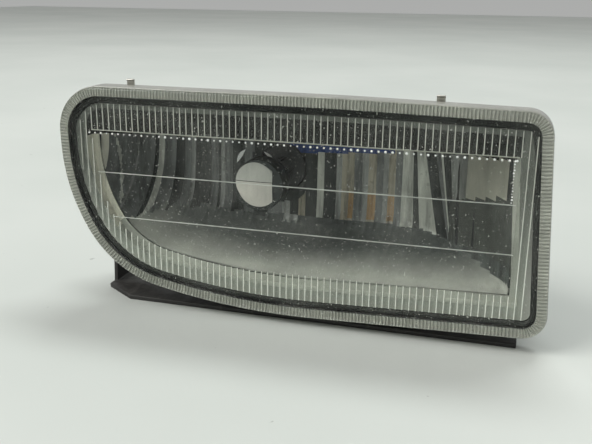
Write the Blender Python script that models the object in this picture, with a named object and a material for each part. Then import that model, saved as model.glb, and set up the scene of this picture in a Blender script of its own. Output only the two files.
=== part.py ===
"""Bumper fog light on its pressed-steel aiming bracket.

Metres, +Z up. The lamp looks along -Y, +X is to the right as seen from in front of it, and the
bracket's flat foot stands on z = 0. Inside the script every place is measured from the lens's front
face (y = 0 there, growing towards the back); one parent empty then centres the whole lamp.

The lamp body (housing, lens, reflector, bulb) rocks on two pivot bolts between the bracket's ears.
The aiming screw turns in the bracket and moves a nut in the housing, which sets the tilt.
The bulb twists in the housing's neck.
"""

import math

import bmesh
import bpy
from mathutils import Matrix, Vector

MM = 0.001

# ---------------------------------------------------------------- overall sizes
LENS_WIDTH = 210.4 * MM
LENS_HEIGHT = 93.8 * MM
LENS_LIFT = 4.0 * MM  # the lens's lowest point above the foot's underside

# ---------------------------------------------------------------- lens outline
RIGHT_LEAN = 5.6 * MM  # how far the right side leans in at the top
TOP_DROOP = 1.4 * MM  # how far the top edge falls towards the right
BOTTOM_RISE = 3.0 * MM  # how far the bottom edge climbs towards the right
SWEEP_LENGTH = 81.0 * MM  # from the left side to where the bottom starts to climb
SWEEP_BELLY = 1.0 * MM
SWEEP_CORNER_IN = 21.2 * MM
SWEEP_CORNER_UP = 11.0 * MM
KNEE_IN = 1.2 * MM
KNEE_UP = 49.5 * MM
SWEEP_RADIUS = 300.0 * MM
BOTTOM_LEFT_RADIUS = 50.0 * MM
KNEE_RADIUS = 76.0 * MM
TOP_LEFT_RADIUS = 20.0 * MM
RIGHT_CORNER_RADIUS = 10.0 * MM
TOP_RADIUS = 1500.0 * MM
TOP_CREST_X = 20.0 * MM
LEAST_RADIUS = 1.5 * MM  # corners never get sharper than this as the outline shrinks

# ---------------------------------------------------------------- lens, seal and housing walls
GAP = 0.3 * MM  # between pieces that rest on each other
LENS_THICK = 4.0 * MM
RIM_DEPTH = 11.0 * MM
RIM_WALL = 2.2 * MM
RIM_ROUND = 2.4 * MM
FLANGE_CLEARANCE = 0.4 * MM
LIP_WALL = 1.6 * MM
INNER_LIP_DROP = 1.2 * MM  # the inner lip stands this much lower than the outer one
SEAL_WIDTH = 2.8 * MM
SEAL_DEPTH = 3.8 * MM
SEAL_SIDE_CLEARANCE = 0.4 * MM
FLANGE_DEPTH = 14.0 * MM
HOUSING_WALL = 2.5 * MM
REFLECTOR_WALL = 2.0 * MM
REFLECTOR_SEAT_DEPTH = 13.6 * MM
REFLECTOR_SEAT_WIDTH = 2.0 * MM
REFLECTOR_FLANGE = 4.2 * MM
REFLECTOR_DEPTH = 43.7 * MM  # from its front edge to the bulb hole
CAVITY_DEPTH = 46.4 * MM  # from the ledge the reflector sits on to the bulb neck

# ---------------------------------------------------------------- bulb
BULB_X = -19.0 * MM
BULB_UP = 52.0 * MM  # above the lens's lowest point
REFLECTOR_HOLE_RADIUS = 11.5 * MM
NECK_BORE_RADIUS = 17.0 * MM
NECK_LENGTH = 9.0 * MM
NECK_LIP = 2.0 * MM
SHOULDER_CLEARANCE = 0.4 * MM  # between the bulb's shoulder and the neck's lip
LUG_WIDTH = 7.0 * MM
LUG_THICK = 2.0 * MM
LUG_CLEARANCE = 1.0 * MM
LUG_COUNT = 3
TWIST_OPEN = math.radians(45)  # turn that brings the lugs to the notches
ORING_MINOR_RADIUS = 1.6 * MM
ORING_CLEARANCE = 0.8 * MM  # between the ring and the neck's bore
SHOULDER_RISE = 1.2 * MM  # of the shoulders beside the ring's groove
NOSE_CLEARANCE = 0.7 * MM  # between the bulb's nose and the reflector's hole
BULB_NOSE_LENGTH = 8.0 * MM
BULB_FLANGE_OVERLAP = 1.5 * MM  # of the flange outside the neck's bore
BULB_FLANGE_THICK = 2.4 * MM
GLASS_RADIUS = 5.6 * MM
GLASS_WALL = 0.7 * MM
GLASS_LENGTH = 26.0 * MM
POST_RADIUS = 0.4 * MM
POST_SPACING = 4.0 * MM
FILAMENT_RADIUS = 0.7 * MM
SOCKET_WIDTH = 24.0 * MM
SOCKET_HEIGHT = 16.0 * MM
SOCKET_LENGTH = 21.0 * MM
SOCKET_WALL = 2.2 * MM
SOCKET_DEPTH = 15.0 * MM
TERMINAL_WIDTH = 2.8 * MM
TERMINAL_THICK = 0.8 * MM
TERMINAL_SPACING = 8.4 * MM
TERMINAL_LENGTH = 10.0 * MM

# ---------------------------------------------------------------- bulb shield
SHIELD_RADIUS = 11.2 * MM
SHIELD_FRONT = 17.0 * MM
SHIELD_CUP_DEPTH = 9.0 * MM
SHIELD_CROWN = 1.6 * MM
SHIELD_WALL = 0.9 * MM
SHIELD_LEG_WIDTH = 4.0 * MM
SHIELD_RIVET_RADIUS = 1.6 * MM

# ---------------------------------------------------------------- bracket and pivots
BRACKET_THICK = 2.0 * MM
EAR_INSET = 11.2 * MM  # from the lens's side to the ear's outer face
EAR_HALF_WIDTH = 12.0 * MM
EAR_TOP_RADIUS = 9.0 * MM
FOOT_FRONT = 7.0 * MM
FOOT_BACK = 60.0 * MM
FOOT_CORNER_LENGTH = 16.0 * MM
FOOT_CORNER_DEPTH = 11.0 * MM
TAB_WIDTH = 22.0 * MM
TAB_LENGTH = 32.0 * MM
TAB_IN = 22.0 * MM  # from the ear's outer face to the tab's middle
TAB_HOLE_RADIUS = 3.5 * MM
TAB_HOLE_EDGE = 10.0 * MM
PIVOT_Y = 34.0 * MM
PIVOT_UP = 45.0 * MM  # above the lens's lowest point
BOSS_RADIUS = 8.0 * MM
WASHER_THICK = 1.4 * MM
WASHER_RADIUS = 7.0 * MM
BOLT_RADIUS = 3.0 * MM
BOLT_HEAD_RADIUS = 5.6 * MM
BOLT_FLANGE_RADIUS = 7.0 * MM
BOLT_FLANGE_THICK = 1.2 * MM
BOLT_HEAD_THICK = 3.6 * MM
BOLT_REACH = 6.0 * MM  # shank length inside the housing's boss
INSERT_WALL = 1.4 * MM
RUNNING_CLEARANCE = 0.3 * MM

# ---------------------------------------------------------------- aiming screw
AIM_X = 44.0 * MM
AIM_Z = 11.5 * MM
AIM_SCREW_RADIUS = 2.0 * MM
AIM_SCREW_STAND = 2.0 * MM  # how far its tip stands out in front of the lug
AIM_HEAD_RADIUS = 6.0 * MM
AIM_HEAD_THICK = 6.0 * MM
AIM_COLLAR_RADIUS = 4.2 * MM
AIM_COLLAR_THICK = 1.2 * MM
AIM_BUSH_WALL = 1.2 * MM
AIM_BUSH_FLANGE = 2.2 * MM
AIM_NUT_ACROSS = 9.0 * MM
AIM_NUT_CLEARANCE = 0.5 * MM
AIM_LUG_FRONT = 33.0 * MM
AIM_LUG_DEPTH = 8.0 * MM
AIM_LUG_HALF_WIDTH = 8.0 * MM
AIM_LUG_BELOW = 7.0 * MM
AIM_LUG_ABOVE = 14.0 * MM
AIM_SCREW_SPAN = 33.0 * MM  # open stretch from the housing's lug to the bracket's upright
UPRIGHT_HALF_WIDTH = 9.0 * MM
RETAINER_RADIUS = 4.4 * MM

# ---------------------------------------------------------------- lens clips and breathers
CLIP_LEFT_X = -74.5 * MM
CLIP_RIGHT_X = 57.5 * MM
CLIP_WIDTH = 3.4 * MM
CLIP_THICK = 0.9 * MM
CLIP_RISE = 2.2 * MM  # its bent tip above the lens's rim
NIPPLE_RADIUS = 3.0 * MM
NIPPLE_BORE_RADIUS = 1.4 * MM
NIPPLE_STAND = 5.5 * MM  # behind the housing's back
NIPPLE_START = 44.0 * MM
BREATHER_RADIUS = 4.8 * MM
BREATHER_LENGTH = 7.0 * MM
BREATHERS = {"breather_upper": (32.0 * MM, 66.0 * MM), "breather_lower": (-52.0 * MM, 40.0 * MM)}

# ---------------------------------------------------------------- facets
SMALL_SIDES = 20
ORING_SIDES = 8
POST_SIDES = 8
FILAMENT_SIDES = 10
HEX_SIDES = 6
ROUND_SIDES = 36
BOWL_STEPS = 7
BOWL_SPREAD = 1.5  # above 1, more of the bowl's loops lie near its front
BOWL_FULLNESS = 3  # above 1, the bowl's wall is steep in front and flat behind
RIM_ROUND_STEPS = 3
DOME_STEPS = 4
EAR_ARC_STEPS = 9
UPRIGHT_ARC_STEPS = 7
CROWN_BREAK_RADIUS = 0.6  # share of the shield's radius where its crown gets steeper
CROWN_BREAK_FALL = 0.35  # share of the crown's height reached there
SCREW_HEAD_CHAMFER = 0.85
SCREW_SLOT_WIDTH = 0.3
SCREW_SLOT_REACH = 0.6
SMOOTH_ANGLE = math.radians(35)

# ---------------------------------------------------------------- places worked out from the sizes
LEFT = -LENS_WIDTH / 2
RIGHT = LENS_WIDTH / 2
BULB_Z = LENS_LIFT + BULB_UP
PIVOT_Z = LENS_LIFT + PIVOT_UP
BULB_BODY_RADIUS = NECK_BORE_RADIUS - ORING_CLEARANCE - 2 * ORING_MINOR_RADIUS
BULB_SHOULDER_RADIUS = BULB_BODY_RADIUS + SHOULDER_RISE
BULB_NOSE_RADIUS = REFLECTOR_HOLE_RADIUS - NOSE_CLEARANCE
BULB_FLANGE_RADIUS = NECK_BORE_RADIUS + BULB_FLANGE_OVERLAP
NECK_LIP_RADIUS = BULB_SHOULDER_RADIUS + SHOULDER_CLEARANCE
LIP_OUTER = RIM_WALL + FLANGE_CLEARANCE
SEAL_INSET = LIP_OUTER + LIP_WALL + SEAL_SIDE_CLEARANCE
SEAL_INNER = SEAL_INSET + SEAL_WIDTH
LIP_INNER = SEAL_INNER + SEAL_SIDE_CLEARANCE + LIP_WALL
LIP_FRONT = LENS_THICK + FLANGE_CLEARANCE
GROOVE_FLOOR = LENS_THICK + GAP + SEAL_DEPTH + GAP
CAVITY_INSET = LIP_INNER + REFLECTOR_SEAT_WIDTH
CAVITY_BACK = REFLECTOR_SEAT_DEPTH + CAVITY_DEPTH
HOUSING_BACK = CAVITY_BACK + HOUSING_WALL
NECK_BACK = HOUSING_BACK + NECK_LENGTH
REFLECTOR_FRONT = REFLECTOR_SEAT_DEPTH - GAP - REFLECTOR_WALL
REFLECTOR_BACK = REFLECTOR_FRONT + REFLECTOR_DEPTH
LIP_INSIDE = NECK_BACK - NECK_LIP
BULB_FLANGE_FRONT = NECK_BACK + GAP
SOCKET_START = BULB_FLANGE_FRONT + BULB_FLANGE_THICK
BULB_BACK = SOCKET_START + SOCKET_LENGTH
EAR_OUTER = RIGHT - EAR_INSET
EAR_INNER = EAR_OUTER - BRACKET_THICK
WASHER_INNER = EAR_INNER - GAP - WASHER_THICK
BOSS_END = WASHER_INNER - GAP
TAB_BACK = FOOT_BACK + TAB_LENGTH
UPRIGHT_Y = AIM_LUG_FRONT + AIM_LUG_DEPTH + AIM_SCREW_SPAN
UPRIGHT_BACK = UPRIGHT_Y + BRACKET_THICK
AIM_SCREW_TIP = AIM_LUG_FRONT - AIM_SCREW_STAND
NIPPLE_END = HOUSING_BACK + NIPPLE_STAND
OVERALL_DEPTH = max(BULB_BACK, TAB_BACK)


# ================================================================ scene helpers


def clear_scene():
    for thing in list(bpy.data.objects):
        bpy.data.objects.remove(thing, do_unlink=True)


def material(name, colour, roughness, metallic=0.0, alpha=1.0, transmission=0.0):
    """A Principled material in the piece's own colour."""
    made = bpy.data.materials.new(name)
    made.use_nodes = True
    shader = made.node_tree.nodes["Principled BSDF"]
    shader.inputs["Base Color"].default_value = (*colour, 1.0)
    shader.inputs["Roughness"].default_value = roughness
    shader.inputs["Metallic"].default_value = metallic
    shader.inputs["Alpha"].default_value = alpha
    shader.inputs["Transmission Weight"].default_value = transmission
    made.diffuse_color = (*colour, alpha)
    return made


def empty(name, place, parent=None):
    """An empty at a place given in the lamp's own coordinates."""
    made = bpy.data.objects.new(name, None)
    bpy.context.scene.collection.objects.link(made)
    made.parent = parent
    made["place"] = tuple(place)
    start = Vector(parent["place"]) if parent else Vector((0, 0, 0))
    made.location = Vector(place) - start
    return made


def add(name, mesh_builder, finish, holder):
    """Links the built mesh under its empty, which becomes the piece's origin."""
    mesh = bpy.data.meshes.new(name)
    bmesh.ops.recalc_face_normals(mesh_builder, faces=mesh_builder.faces)
    if mesh_builder.calc_volume(signed=True) < 0:
        bmesh.ops.reverse_faces(mesh_builder, faces=mesh_builder.faces)
    mesh_builder.to_mesh(mesh)
    mesh_builder.free()
    made = bpy.data.objects.new(name, mesh)
    bpy.context.scene.collection.objects.link(made)
    mesh.transform(Matrix.Translation(-Vector(holder["place"])))
    made.parent = holder
    mesh.shade_smooth()
    mesh.set_sharp_from_angle(angle=SMOOTH_ANGLE)
    if finish is None:
        made.hide_render = True
        made.display_type = "WIRE"
    else:
        mesh.materials.append(finish)
    return made


def boolean(target, tool, operation):
    modifier = target.modifiers.new(tool.name, "BOOLEAN")
    modifier.operation = operation
    modifier.solver = "EXACT"
    modifier.object = tool


def cut(target, tool):
    boolean(target, tool, "DIFFERENCE")


def join(target, tool):
    boolean(target, tool, "UNION")


# ================================================================ shape helpers


def corner_arc(before, corner, after, radius, steps):
    """Points of the arc that rounds one corner of a polygon."""
    to_before = (before - corner).normalized()
    to_after = (after - corner).normalized()
    half = to_before.angle(to_after) / 2
    reach = radius / math.tan(half)
    centre = corner + (to_before + to_after).normalized() * (radius / math.sin(half))
    start = corner + to_before * reach - centre
    end = corner + to_after * reach - centre
    sweep = start.angle(end)
    points = []
    for step in range(steps + 1):
        share = step / steps
        a = math.sin((1 - share) * sweep) / math.sin(sweep)
        b = math.sin(share * sweep) / math.sin(sweep)
        points.append(centre + start * a + end * b)
    return points


def moved_in(corners, inset):
    """The polygon with every edge moved inwards by inset. Corners run anticlockwise."""
    count = len(corners)
    lines = []
    for i in range(count):
        along = (corners[(i + 1) % count] - corners[i]).normalized()
        inward = Vector((-along.y, along.x))
        lines.append((corners[i] + inward * inset, along))
    result = []
    for i in range(count):
        (start, along), (other, direction) = lines[i - 1], lines[i]
        reach = (other - start).cross(direction) / along.cross(direction)
        result.append(start + along * reach)
    return result


def raw_outline(inset):
    """(x, z) points round the lens, anticlockwise from the front, moved in by inset."""
    top = LENS_HEIGHT
    corners = [
        # x, z, corner radius, steps round the corner, pieces of the edge after it
        (LEFT + SWEEP_LENGTH, -SWEEP_BELLY, SWEEP_RADIUS, 6, 5),
        (RIGHT, BOTTOM_RISE, RIGHT_CORNER_RADIUS, 5, 4),
        (RIGHT - RIGHT_LEAN, top - TOP_DROOP, RIGHT_CORNER_RADIUS, 5, 3),
        (TOP_CREST_X, top, TOP_RADIUS, 2, 6),
        (LEFT, top, TOP_LEFT_RADIUS, 6, 1),
        (LEFT + KNEE_IN, KNEE_UP, KNEE_RADIUS, 4, 1),
        (LEFT + SWEEP_CORNER_IN, SWEEP_CORNER_UP, BOTTOM_LEFT_RADIUS, 6, 1),
    ]
    moved = moved_in([Vector(corner[:2]) for corner in corners], inset)
    points = []
    for i, (_, _, radius, steps, pieces) in enumerate(corners):
        before, here, after = moved[i - 1], moved[i], moved[(i + 1) % len(moved)]
        arc = corner_arc(before, here, after, max(radius - inset, LEAST_RADIUS), steps)
        points.extend(arc)
        following = corners[(i + 1) % len(corners)]
        beyond = moved[(i + 2) % len(moved)]
        next_radius = max(following[2] - inset, LEAST_RADIUS)
        next_start = corner_arc(here, after, beyond, next_radius, following[3])[0]
        for piece in range(1, pieces):
            points.append(arc[-1].lerp(next_start, piece / pieces))
    return points


def middle_x():
    across = [point.x for point in raw_outline(0.0)]
    return (min(across) + max(across)) / 2


def lowest_z():
    return min(point.y for point in raw_outline(0.0))


OUTLINE_SHIFT = Vector((middle_x(), lowest_z() - LENS_LIFT))


def outline(inset, y):
    """The outline moved in by inset, as points at depth y."""
    return [
        Vector((point.x - OUTLINE_SHIFT.x, y, point.y - OUTLINE_SHIFT.y))
        for point in raw_outline(inset)
    ]


def bulb_circle(inset, radius, y):
    """A circle round the bulb's axis with one point for each point of the outline."""
    points = []
    for point in outline(inset, y):
        away = Vector((point.x - BULB_X, 0, point.z - BULB_Z)).normalized()
        points.append(Vector((BULB_X, y, BULB_Z)) + away * radius)
    return points


def bowl(inset, radius, front, depth):
    """Loops of a dish from the outline at its front to a circle round the bulb at its back."""
    loops = []
    for step in range(BOWL_STEPS + 1):
        share = (step / BOWL_STEPS) ** BOWL_SPREAD
        y = front + depth * (1 - (1 - share) ** BOWL_FULLNESS)
        outer = outline(inset, y)
        inner = bulb_circle(inset, radius, y)
        loops.append([a.lerp(b, share) for a, b in zip(outer, inner)])
    return loops


def skin(loops, closed):
    """A surface through the loops: closed end to end as a ring, or capped at both ends."""
    made = bmesh.new()
    rows = [[made.verts.new(point) for point in loop] for loop in loops]
    pairs = list(zip(rows, rows[1:]))
    if closed:
        pairs.append((rows[-1], rows[0]))
    for first, second in pairs:
        for i in range(len(first)):
            made.faces.new((first[i - 1], first[i], second[i], second[i - 1]))
    if not closed:
        made.faces.new(rows[0])
        made.faces.new(rows[-1])
    return made


def ring(profile):
    """A band that follows the outline, from (inset, y) corners of its section."""
    return skin([outline(inset, y) for inset, y in profile], closed=True)


def turned(profile, axis, centre, sides=SMALL_SIDES):
    """A solid turned about an axis from (radius, distance along the axis) points, with flat ends.

    A profile whose ends are off the axis closes on itself, which leaves a bore."""
    closed = min(profile[0][0], profile[-1][0]) > 0
    turn = Vector((0, 0, 1)).rotation_difference(Vector(axis)).to_matrix()
    made = bmesh.new()
    rows = []
    for radius, along in profile:
        if radius == 0:
            rows.append([made.verts.new(Vector(centre) + turn @ Vector((0, 0, along)))] * sides)
            continue
        row = []
        for side in range(sides):
            angle = math.tau * side / sides
            local = Vector((radius * math.cos(angle), radius * math.sin(angle), along))
            row.append(made.verts.new(Vector(centre) + turn @ local))
        rows.append(row)
    pairs = list(zip(rows, rows[1:]))
    if closed:
        pairs.append((rows[-1], rows[0]))
    for first, second in pairs:
        for i in range(sides):
            face = [first[i - 1], first[i], second[i], second[i - 1]]
            made.faces.new(list(dict.fromkeys(face)))
    return made


def rod(radius, axis, start, length, sides=SMALL_SIDES):
    """A plain cylinder from start along axis."""
    return turned([(0, 0), (radius, 0), (radius, length), (0, length)], axis, start, sides)


def tube(radius, bore, axis, start, length, sides=SMALL_SIDES):
    profile = [(bore, 0), (radius, 0), (radius, length), (bore, length)]
    return turned(profile, axis, start, sides)


def block(low, high):
    made = bmesh.new()
    bmesh.ops.create_cube(made, size=1)
    size = Vector(high) - Vector(low)
    middle = (Vector(high) + Vector(low)) / 2
    bmesh.ops.scale(made, vec=size, verts=made.verts)
    bmesh.ops.translate(made, vec=middle, verts=made.verts)
    return made


def slab(corners, direction):
    """A flat sheet from its corner points, thickened along direction."""
    made = bmesh.new()
    face = made.faces.new([made.verts.new(Vector(corner)) for corner in corners])
    pushed = bmesh.ops.extrude_face_region(made, geom=[face])
    moved = [item for item in pushed["geom"] if isinstance(item, bmesh.types.BMVert)]
    bmesh.ops.translate(made, vec=Vector(direction), verts=moved)
    return made


# ================================================================ lamp body


def build_lens(lamp, finish):
    """A clear moulding: a flat window plate with a turned-back skirt round it."""
    loops = [outline(RIM_ROUND, 0.0)]
    for step in range(1, RIM_ROUND_STEPS + 1):
        angle = math.radians(90) * step / RIM_ROUND_STEPS
        inset = RIM_ROUND * (1 - math.sin(angle))
        loops.append(outline(inset, RIM_ROUND * (1 - math.cos(angle))))
    loops.append(outline(0.0, RIM_DEPTH))
    loops.append(outline(RIM_WALL, RIM_DEPTH))
    loops.append(outline(RIM_WALL, LENS_THICK))
    return add("lens", skin(loops, closed=False), finish, lamp)


def build_seal(lamp, finish):
    front = LENS_THICK + GAP
    back = front + SEAL_DEPTH
    profile = [(SEAL_INSET, front), (SEAL_INNER, front), (SEAL_INNER, back), (SEAL_INSET, back)]
    return add("lens_seal", ring(profile), finish, lamp)


def build_housing(lamp, finish):
    """The back shell: a flange with a seal groove, a bowl, a bulb neck, pivot bosses and a lug."""
    loops = [outline(LIP_OUTER, LIP_FRONT), outline(LIP_OUTER, FLANGE_DEPTH)]
    loops += bowl(
        CAVITY_INSET - HOUSING_WALL,
        NECK_BORE_RADIUS + HOUSING_WALL,
        FLANGE_DEPTH + HOUSING_WALL,
        HOUSING_BACK - FLANGE_DEPTH - HOUSING_WALL,
    )
    loops.append(
        bulb_circle(CAVITY_INSET - HOUSING_WALL, NECK_BORE_RADIUS + HOUSING_WALL, NECK_BACK)
    )
    housing = add("housing", skin(loops, closed=False), finish, lamp)

    for side, x in (("left", -BOSS_END), ("right", BOSS_END)):
        inwards = -math.copysign(1, x)
        reach = BOSS_END - abs(x) / 2
        boss = rod(BOSS_RADIUS, (inwards, 0, 0), (x, PIVOT_Y, PIVOT_Z), reach, ROUND_SIDES)
        join(housing, add(f"boss_{side}", boss, None, lamp))

    lug = block(
        (AIM_X - AIM_LUG_HALF_WIDTH, AIM_LUG_FRONT, AIM_Z - AIM_LUG_BELOW),
        (AIM_X + AIM_LUG_HALF_WIDTH, AIM_LUG_FRONT + AIM_LUG_DEPTH, AIM_Z + AIM_LUG_ABOVE),
    )
    join(housing, add("aim_lug", lug, None, lamp))
    for name, (x, up) in BREATHERS.items():
        start = (x, NIPPLE_START, LENS_LIFT + up)
        nipple = rod(NIPPLE_RADIUS, (0, 1, 0), start, NIPPLE_END - NIPPLE_START, SMALL_SIDES)
        join(housing, add(f"{name}_nipple", nipple, None, lamp))

    front_of_all = -LENS_THICK
    cavity = [outline(LIP_INNER, front_of_all), outline(LIP_INNER, REFLECTOR_SEAT_DEPTH)]
    cavity += bowl(CAVITY_INSET, NECK_BORE_RADIUS, REFLECTOR_SEAT_DEPTH, CAVITY_DEPTH)
    cavity.append(bulb_circle(CAVITY_INSET, NECK_BORE_RADIUS, LIP_INSIDE))
    cut(housing, add("cavity", skin(cavity, closed=False), None, lamp))

    groove = ring(
        [
            (SEAL_INSET - SEAL_SIDE_CLEARANCE, front_of_all),
            (SEAL_INNER + SEAL_SIDE_CLEARANCE, front_of_all),
            (SEAL_INNER + SEAL_SIDE_CLEARANCE, GROOVE_FLOOR),
            (SEAL_INSET - SEAL_SIDE_CLEARANCE, GROOVE_FLOOR),
        ]
    )
    cut(housing, add("seal_groove", groove, None, lamp))

    step = ring(
        [
            (SEAL_INNER, front_of_all),
            (LIP_INNER + LIP_WALL, front_of_all),
            (LIP_INNER + LIP_WALL, LIP_FRONT + INNER_LIP_DROP),
            (SEAL_INNER, LIP_FRONT + INNER_LIP_DROP),
        ]
    )
    cut(housing, add("inner_lip_step", step, None, lamp))

    neck_start = (BULB_X, LIP_INSIDE - NECK_LIP, BULB_Z)
    neck_hole = rod(NECK_LIP_RADIUS, (0, 1, 0), neck_start, 3 * NECK_LIP, ROUND_SIDES)
    cut(housing, add("neck_hole", neck_hole, None, lamp))
    for i in range(LUG_COUNT):
        notch = lug_at(i, LUG_WIDTH + 2 * LUG_CLEARANCE, LIP_INSIDE - NECK_LIP, 3 * NECK_LIP)
        notch.transform(bulb_turn(TWIST_OPEN))
        cut(housing, add(f"neck_notch_{i + 1}", notch, None, lamp))

    for side, x in (("left", -BOSS_END), ("right", BOSS_END)):
        inwards = -math.copysign(1, x)
        start = (x - inwards * GAP, PIVOT_Y, PIVOT_Z)
        radius = BOLT_RADIUS + RUNNING_CLEARANCE + INSERT_WALL + GAP
        hole = rod(radius, (inwards, 0, 0), start, GAP + BOLT_REACH + GAP, SMALL_SIDES)
        cut(housing, add(f"boss_hole_{side}", hole, None, lamp))

    nut_radius = AIM_NUT_ACROSS / 2 / math.cos(math.pi / 6) + GAP
    start = (AIM_X, AIM_LUG_FRONT + HOUSING_WALL, AIM_Z)
    nut_pocket = rod(nut_radius, (0, 1, 0), start, AIM_LUG_DEPTH, HEX_SIDES)
    cut(housing, add("aim_nut_pocket", nut_pocket, None, lamp))
    start = (AIM_X, AIM_LUG_FRONT - GAP, AIM_Z)
    hole = rod(AIM_SCREW_RADIUS + 2 * AIM_NUT_CLEARANCE, (0, 1, 0), start, AIM_LUG_DEPTH)
    cut(housing, add("aim_lug_hole", hole, None, lamp))
    for name, (x, up) in BREATHERS.items():
        start = (x, NIPPLE_START - HOUSING_WALL, LENS_LIFT + up)
        bore = rod(NIPPLE_BORE_RADIUS, (0, 1, 0), start, NIPPLE_END - NIPPLE_START + 2 * HOUSING_WALL)
        cut(housing, add(f"{name}_bore", bore, None, lamp))
    return housing


def build_reflector(lamp, finish):
    """A bright bowl with a flat flange that sits on the housing's inner ledge."""
    flange_inset = LIP_INNER + GAP + FLANGE_CLEARANCE
    wall_inset = flange_inset + REFLECTOR_FLANGE
    back_inset = wall_inset - REFLECTOR_WALL
    front = bowl(wall_inset, REFLECTOR_HOLE_RADIUS, REFLECTOR_FRONT, REFLECTOR_DEPTH)
    back_front = REFLECTOR_FRONT + REFLECTOR_WALL
    back = bowl(back_inset, REFLECTOR_HOLE_RADIUS, back_front, REFLECTOR_DEPTH)
    loops = [outline(flange_inset, REFLECTOR_FRONT)]
    loops += front
    loops += reversed(back)
    loops.append(outline(flange_inset, back_front))
    return add("reflector", skin(loops, closed=True), finish, lamp)


def build_shield(lamp, finish, rivet_finish):
    """A cup in front of the bulb on a leg that reaches back beside it."""
    axis = (0, -1, 0)
    edge = SHIELD_FRONT + SHIELD_CROWN
    back = edge + SHIELD_CUP_DEPTH
    centre = (BULB_X, back, BULB_Z)
    inner = SHIELD_RADIUS - SHIELD_WALL
    profile = [
        (0, back - SHIELD_FRONT),
        (
            SHIELD_RADIUS * CROWN_BREAK_RADIUS,
            back - SHIELD_FRONT - SHIELD_CROWN * CROWN_BREAK_FALL,
        ),
        (SHIELD_RADIUS, SHIELD_CUP_DEPTH),
        (SHIELD_RADIUS, 0),
        (inner, 0),
        (inner, SHIELD_CUP_DEPTH - SHIELD_WALL),
        (0, back - SHIELD_FRONT - SHIELD_WALL),
    ]
    shield = add("bulb_shield", turned(profile, axis, centre, ROUND_SIDES), finish, lamp)
    leg_back = REFLECTOR_BACK - 2 * SHIELD_RIVET_RADIUS
    half = SHIELD_LEG_WIDTH / 2
    leg = block(
        (BULB_X - half, edge + SHIELD_WALL, BULB_Z - SHIELD_RADIUS),
        (BULB_X + half, leg_back, BULB_Z - SHIELD_RADIUS + SHIELD_WALL + GAP),
    )
    join(shield, add("shield_leg", leg, None, lamp))
    foot = rod(half, (0, 1, 0), (BULB_X, leg_back - SHIELD_WALL, BULB_Z - SHIELD_RADIUS), SHIELD_WALL)
    join(shield, add("shield_foot", foot, None, lamp))
    rivet_start = (BULB_X, leg_back + GAP, BULB_Z - SHIELD_RADIUS)
    rivet = rod(SHIELD_RIVET_RADIUS, (0, 1, 0), rivet_start, SHIELD_RIVET_RADIUS)
    add("shield_rivet", rivet, rivet_finish, lamp)


def build_pivot_inserts(lamp, finish):
    for side, x in (("left", -BOSS_END), ("right", BOSS_END)):
        inwards = -math.copysign(1, x)
        bore = BOLT_RADIUS + RUNNING_CLEARANCE
        start = (x, PIVOT_Y, PIVOT_Z)
        insert = tube(bore + INSERT_WALL, bore, (inwards, 0, 0), start, BOLT_REACH)
        add(f"pivot_insert_{side}", insert, finish, lamp)


def build_aim_nut(lamp, finish):
    """A six-sided nut with a loose bore, held in the housing's lug."""
    start = (AIM_X, AIM_LUG_FRONT + HOUSING_WALL + GAP, AIM_Z)
    radius = AIM_NUT_ACROSS / 2 / math.cos(math.pi / 6)
    length = AIM_LUG_DEPTH - HOUSING_WALL
    nut = add("aim_nut", rod(radius, (0, 1, 0), start, length, HEX_SIDES), finish, lamp)
    hole_start = (AIM_X, AIM_LUG_FRONT, AIM_Z)
    radius = AIM_SCREW_RADIUS + AIM_NUT_CLEARANCE
    hole = rod(radius, (0, 1, 0), hole_start, 2 * AIM_LUG_DEPTH)
    cut(nut, add("aim_nut_hole", hole, None, lamp))


def top_of_rim(x):
    """Height of the lens's top edge at x."""
    points = outline(0.0, 0.0)
    for a, b in zip(points, points[1:]):
        if min(a.x, b.x) <= x <= max(a.x, b.x) and a.z > BULB_Z:
            return a.z + (b.z - a.z) * (x - a.x) / (b.x - a.x)
    return LENS_LIFT + LENS_HEIGHT


def build_lens_clips(lamp, finish):
    """Bent spring strips that stand just behind the lens's skirt, their feet on the housing."""
    for side, x in (("left", CLIP_LEFT_X), ("right", CLIP_RIGHT_X)):
        low_x = x - CLIP_WIDTH / 2
        top = top_of_rim(x) + CLIP_RISE
        foot = top_of_rim(x) - LIP_OUTER + GAP
        y = RIM_DEPTH + GAP
        back = y + CLIP_THICK
        # its side view, from the foot's end round the bend to the rolled tip
        side_view = [
            (y, foot),
            (y, top - CLIP_THICK),
            (y - CLIP_THICK, top - CLIP_THICK / 2),
            (y - CLIP_THICK, top),
            (back, top),
            (back, foot + CLIP_THICK),
            (y + FLANGE_DEPTH - RIM_DEPTH, foot + CLIP_THICK),
            (y + FLANGE_DEPTH - RIM_DEPTH, foot),
        ]
        corners = [(low_x, depth, height) for depth, height in side_view]
        add(f"lens_clip_{side}", slab(corners, (CLIP_WIDTH, 0, 0)), finish, lamp)


def build_breathers(lamp, finish):
    """Rubber caps over the housing's breather nipples, open towards the nipple."""
    for name, (x, up) in BREATHERS.items():
        inner = NIPPLE_RADIUS + GAP
        floor = NIPPLE_END + GAP
        start = floor + HOUSING_WALL - BREATHER_LENGTH
        profile = [
            (inner, 0),
            (BREATHER_RADIUS, 0),
            (BREATHER_RADIUS, BREATHER_LENGTH),
            (0, BREATHER_LENGTH),
            (0, BREATHER_LENGTH - HOUSING_WALL),
            (inner, BREATHER_LENGTH - HOUSING_WALL),
        ]
        cap = cup_solid(profile, (0, 1, 0), (x, start, LENS_LIFT + up))
        add(name, cap, finish, lamp)


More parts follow.
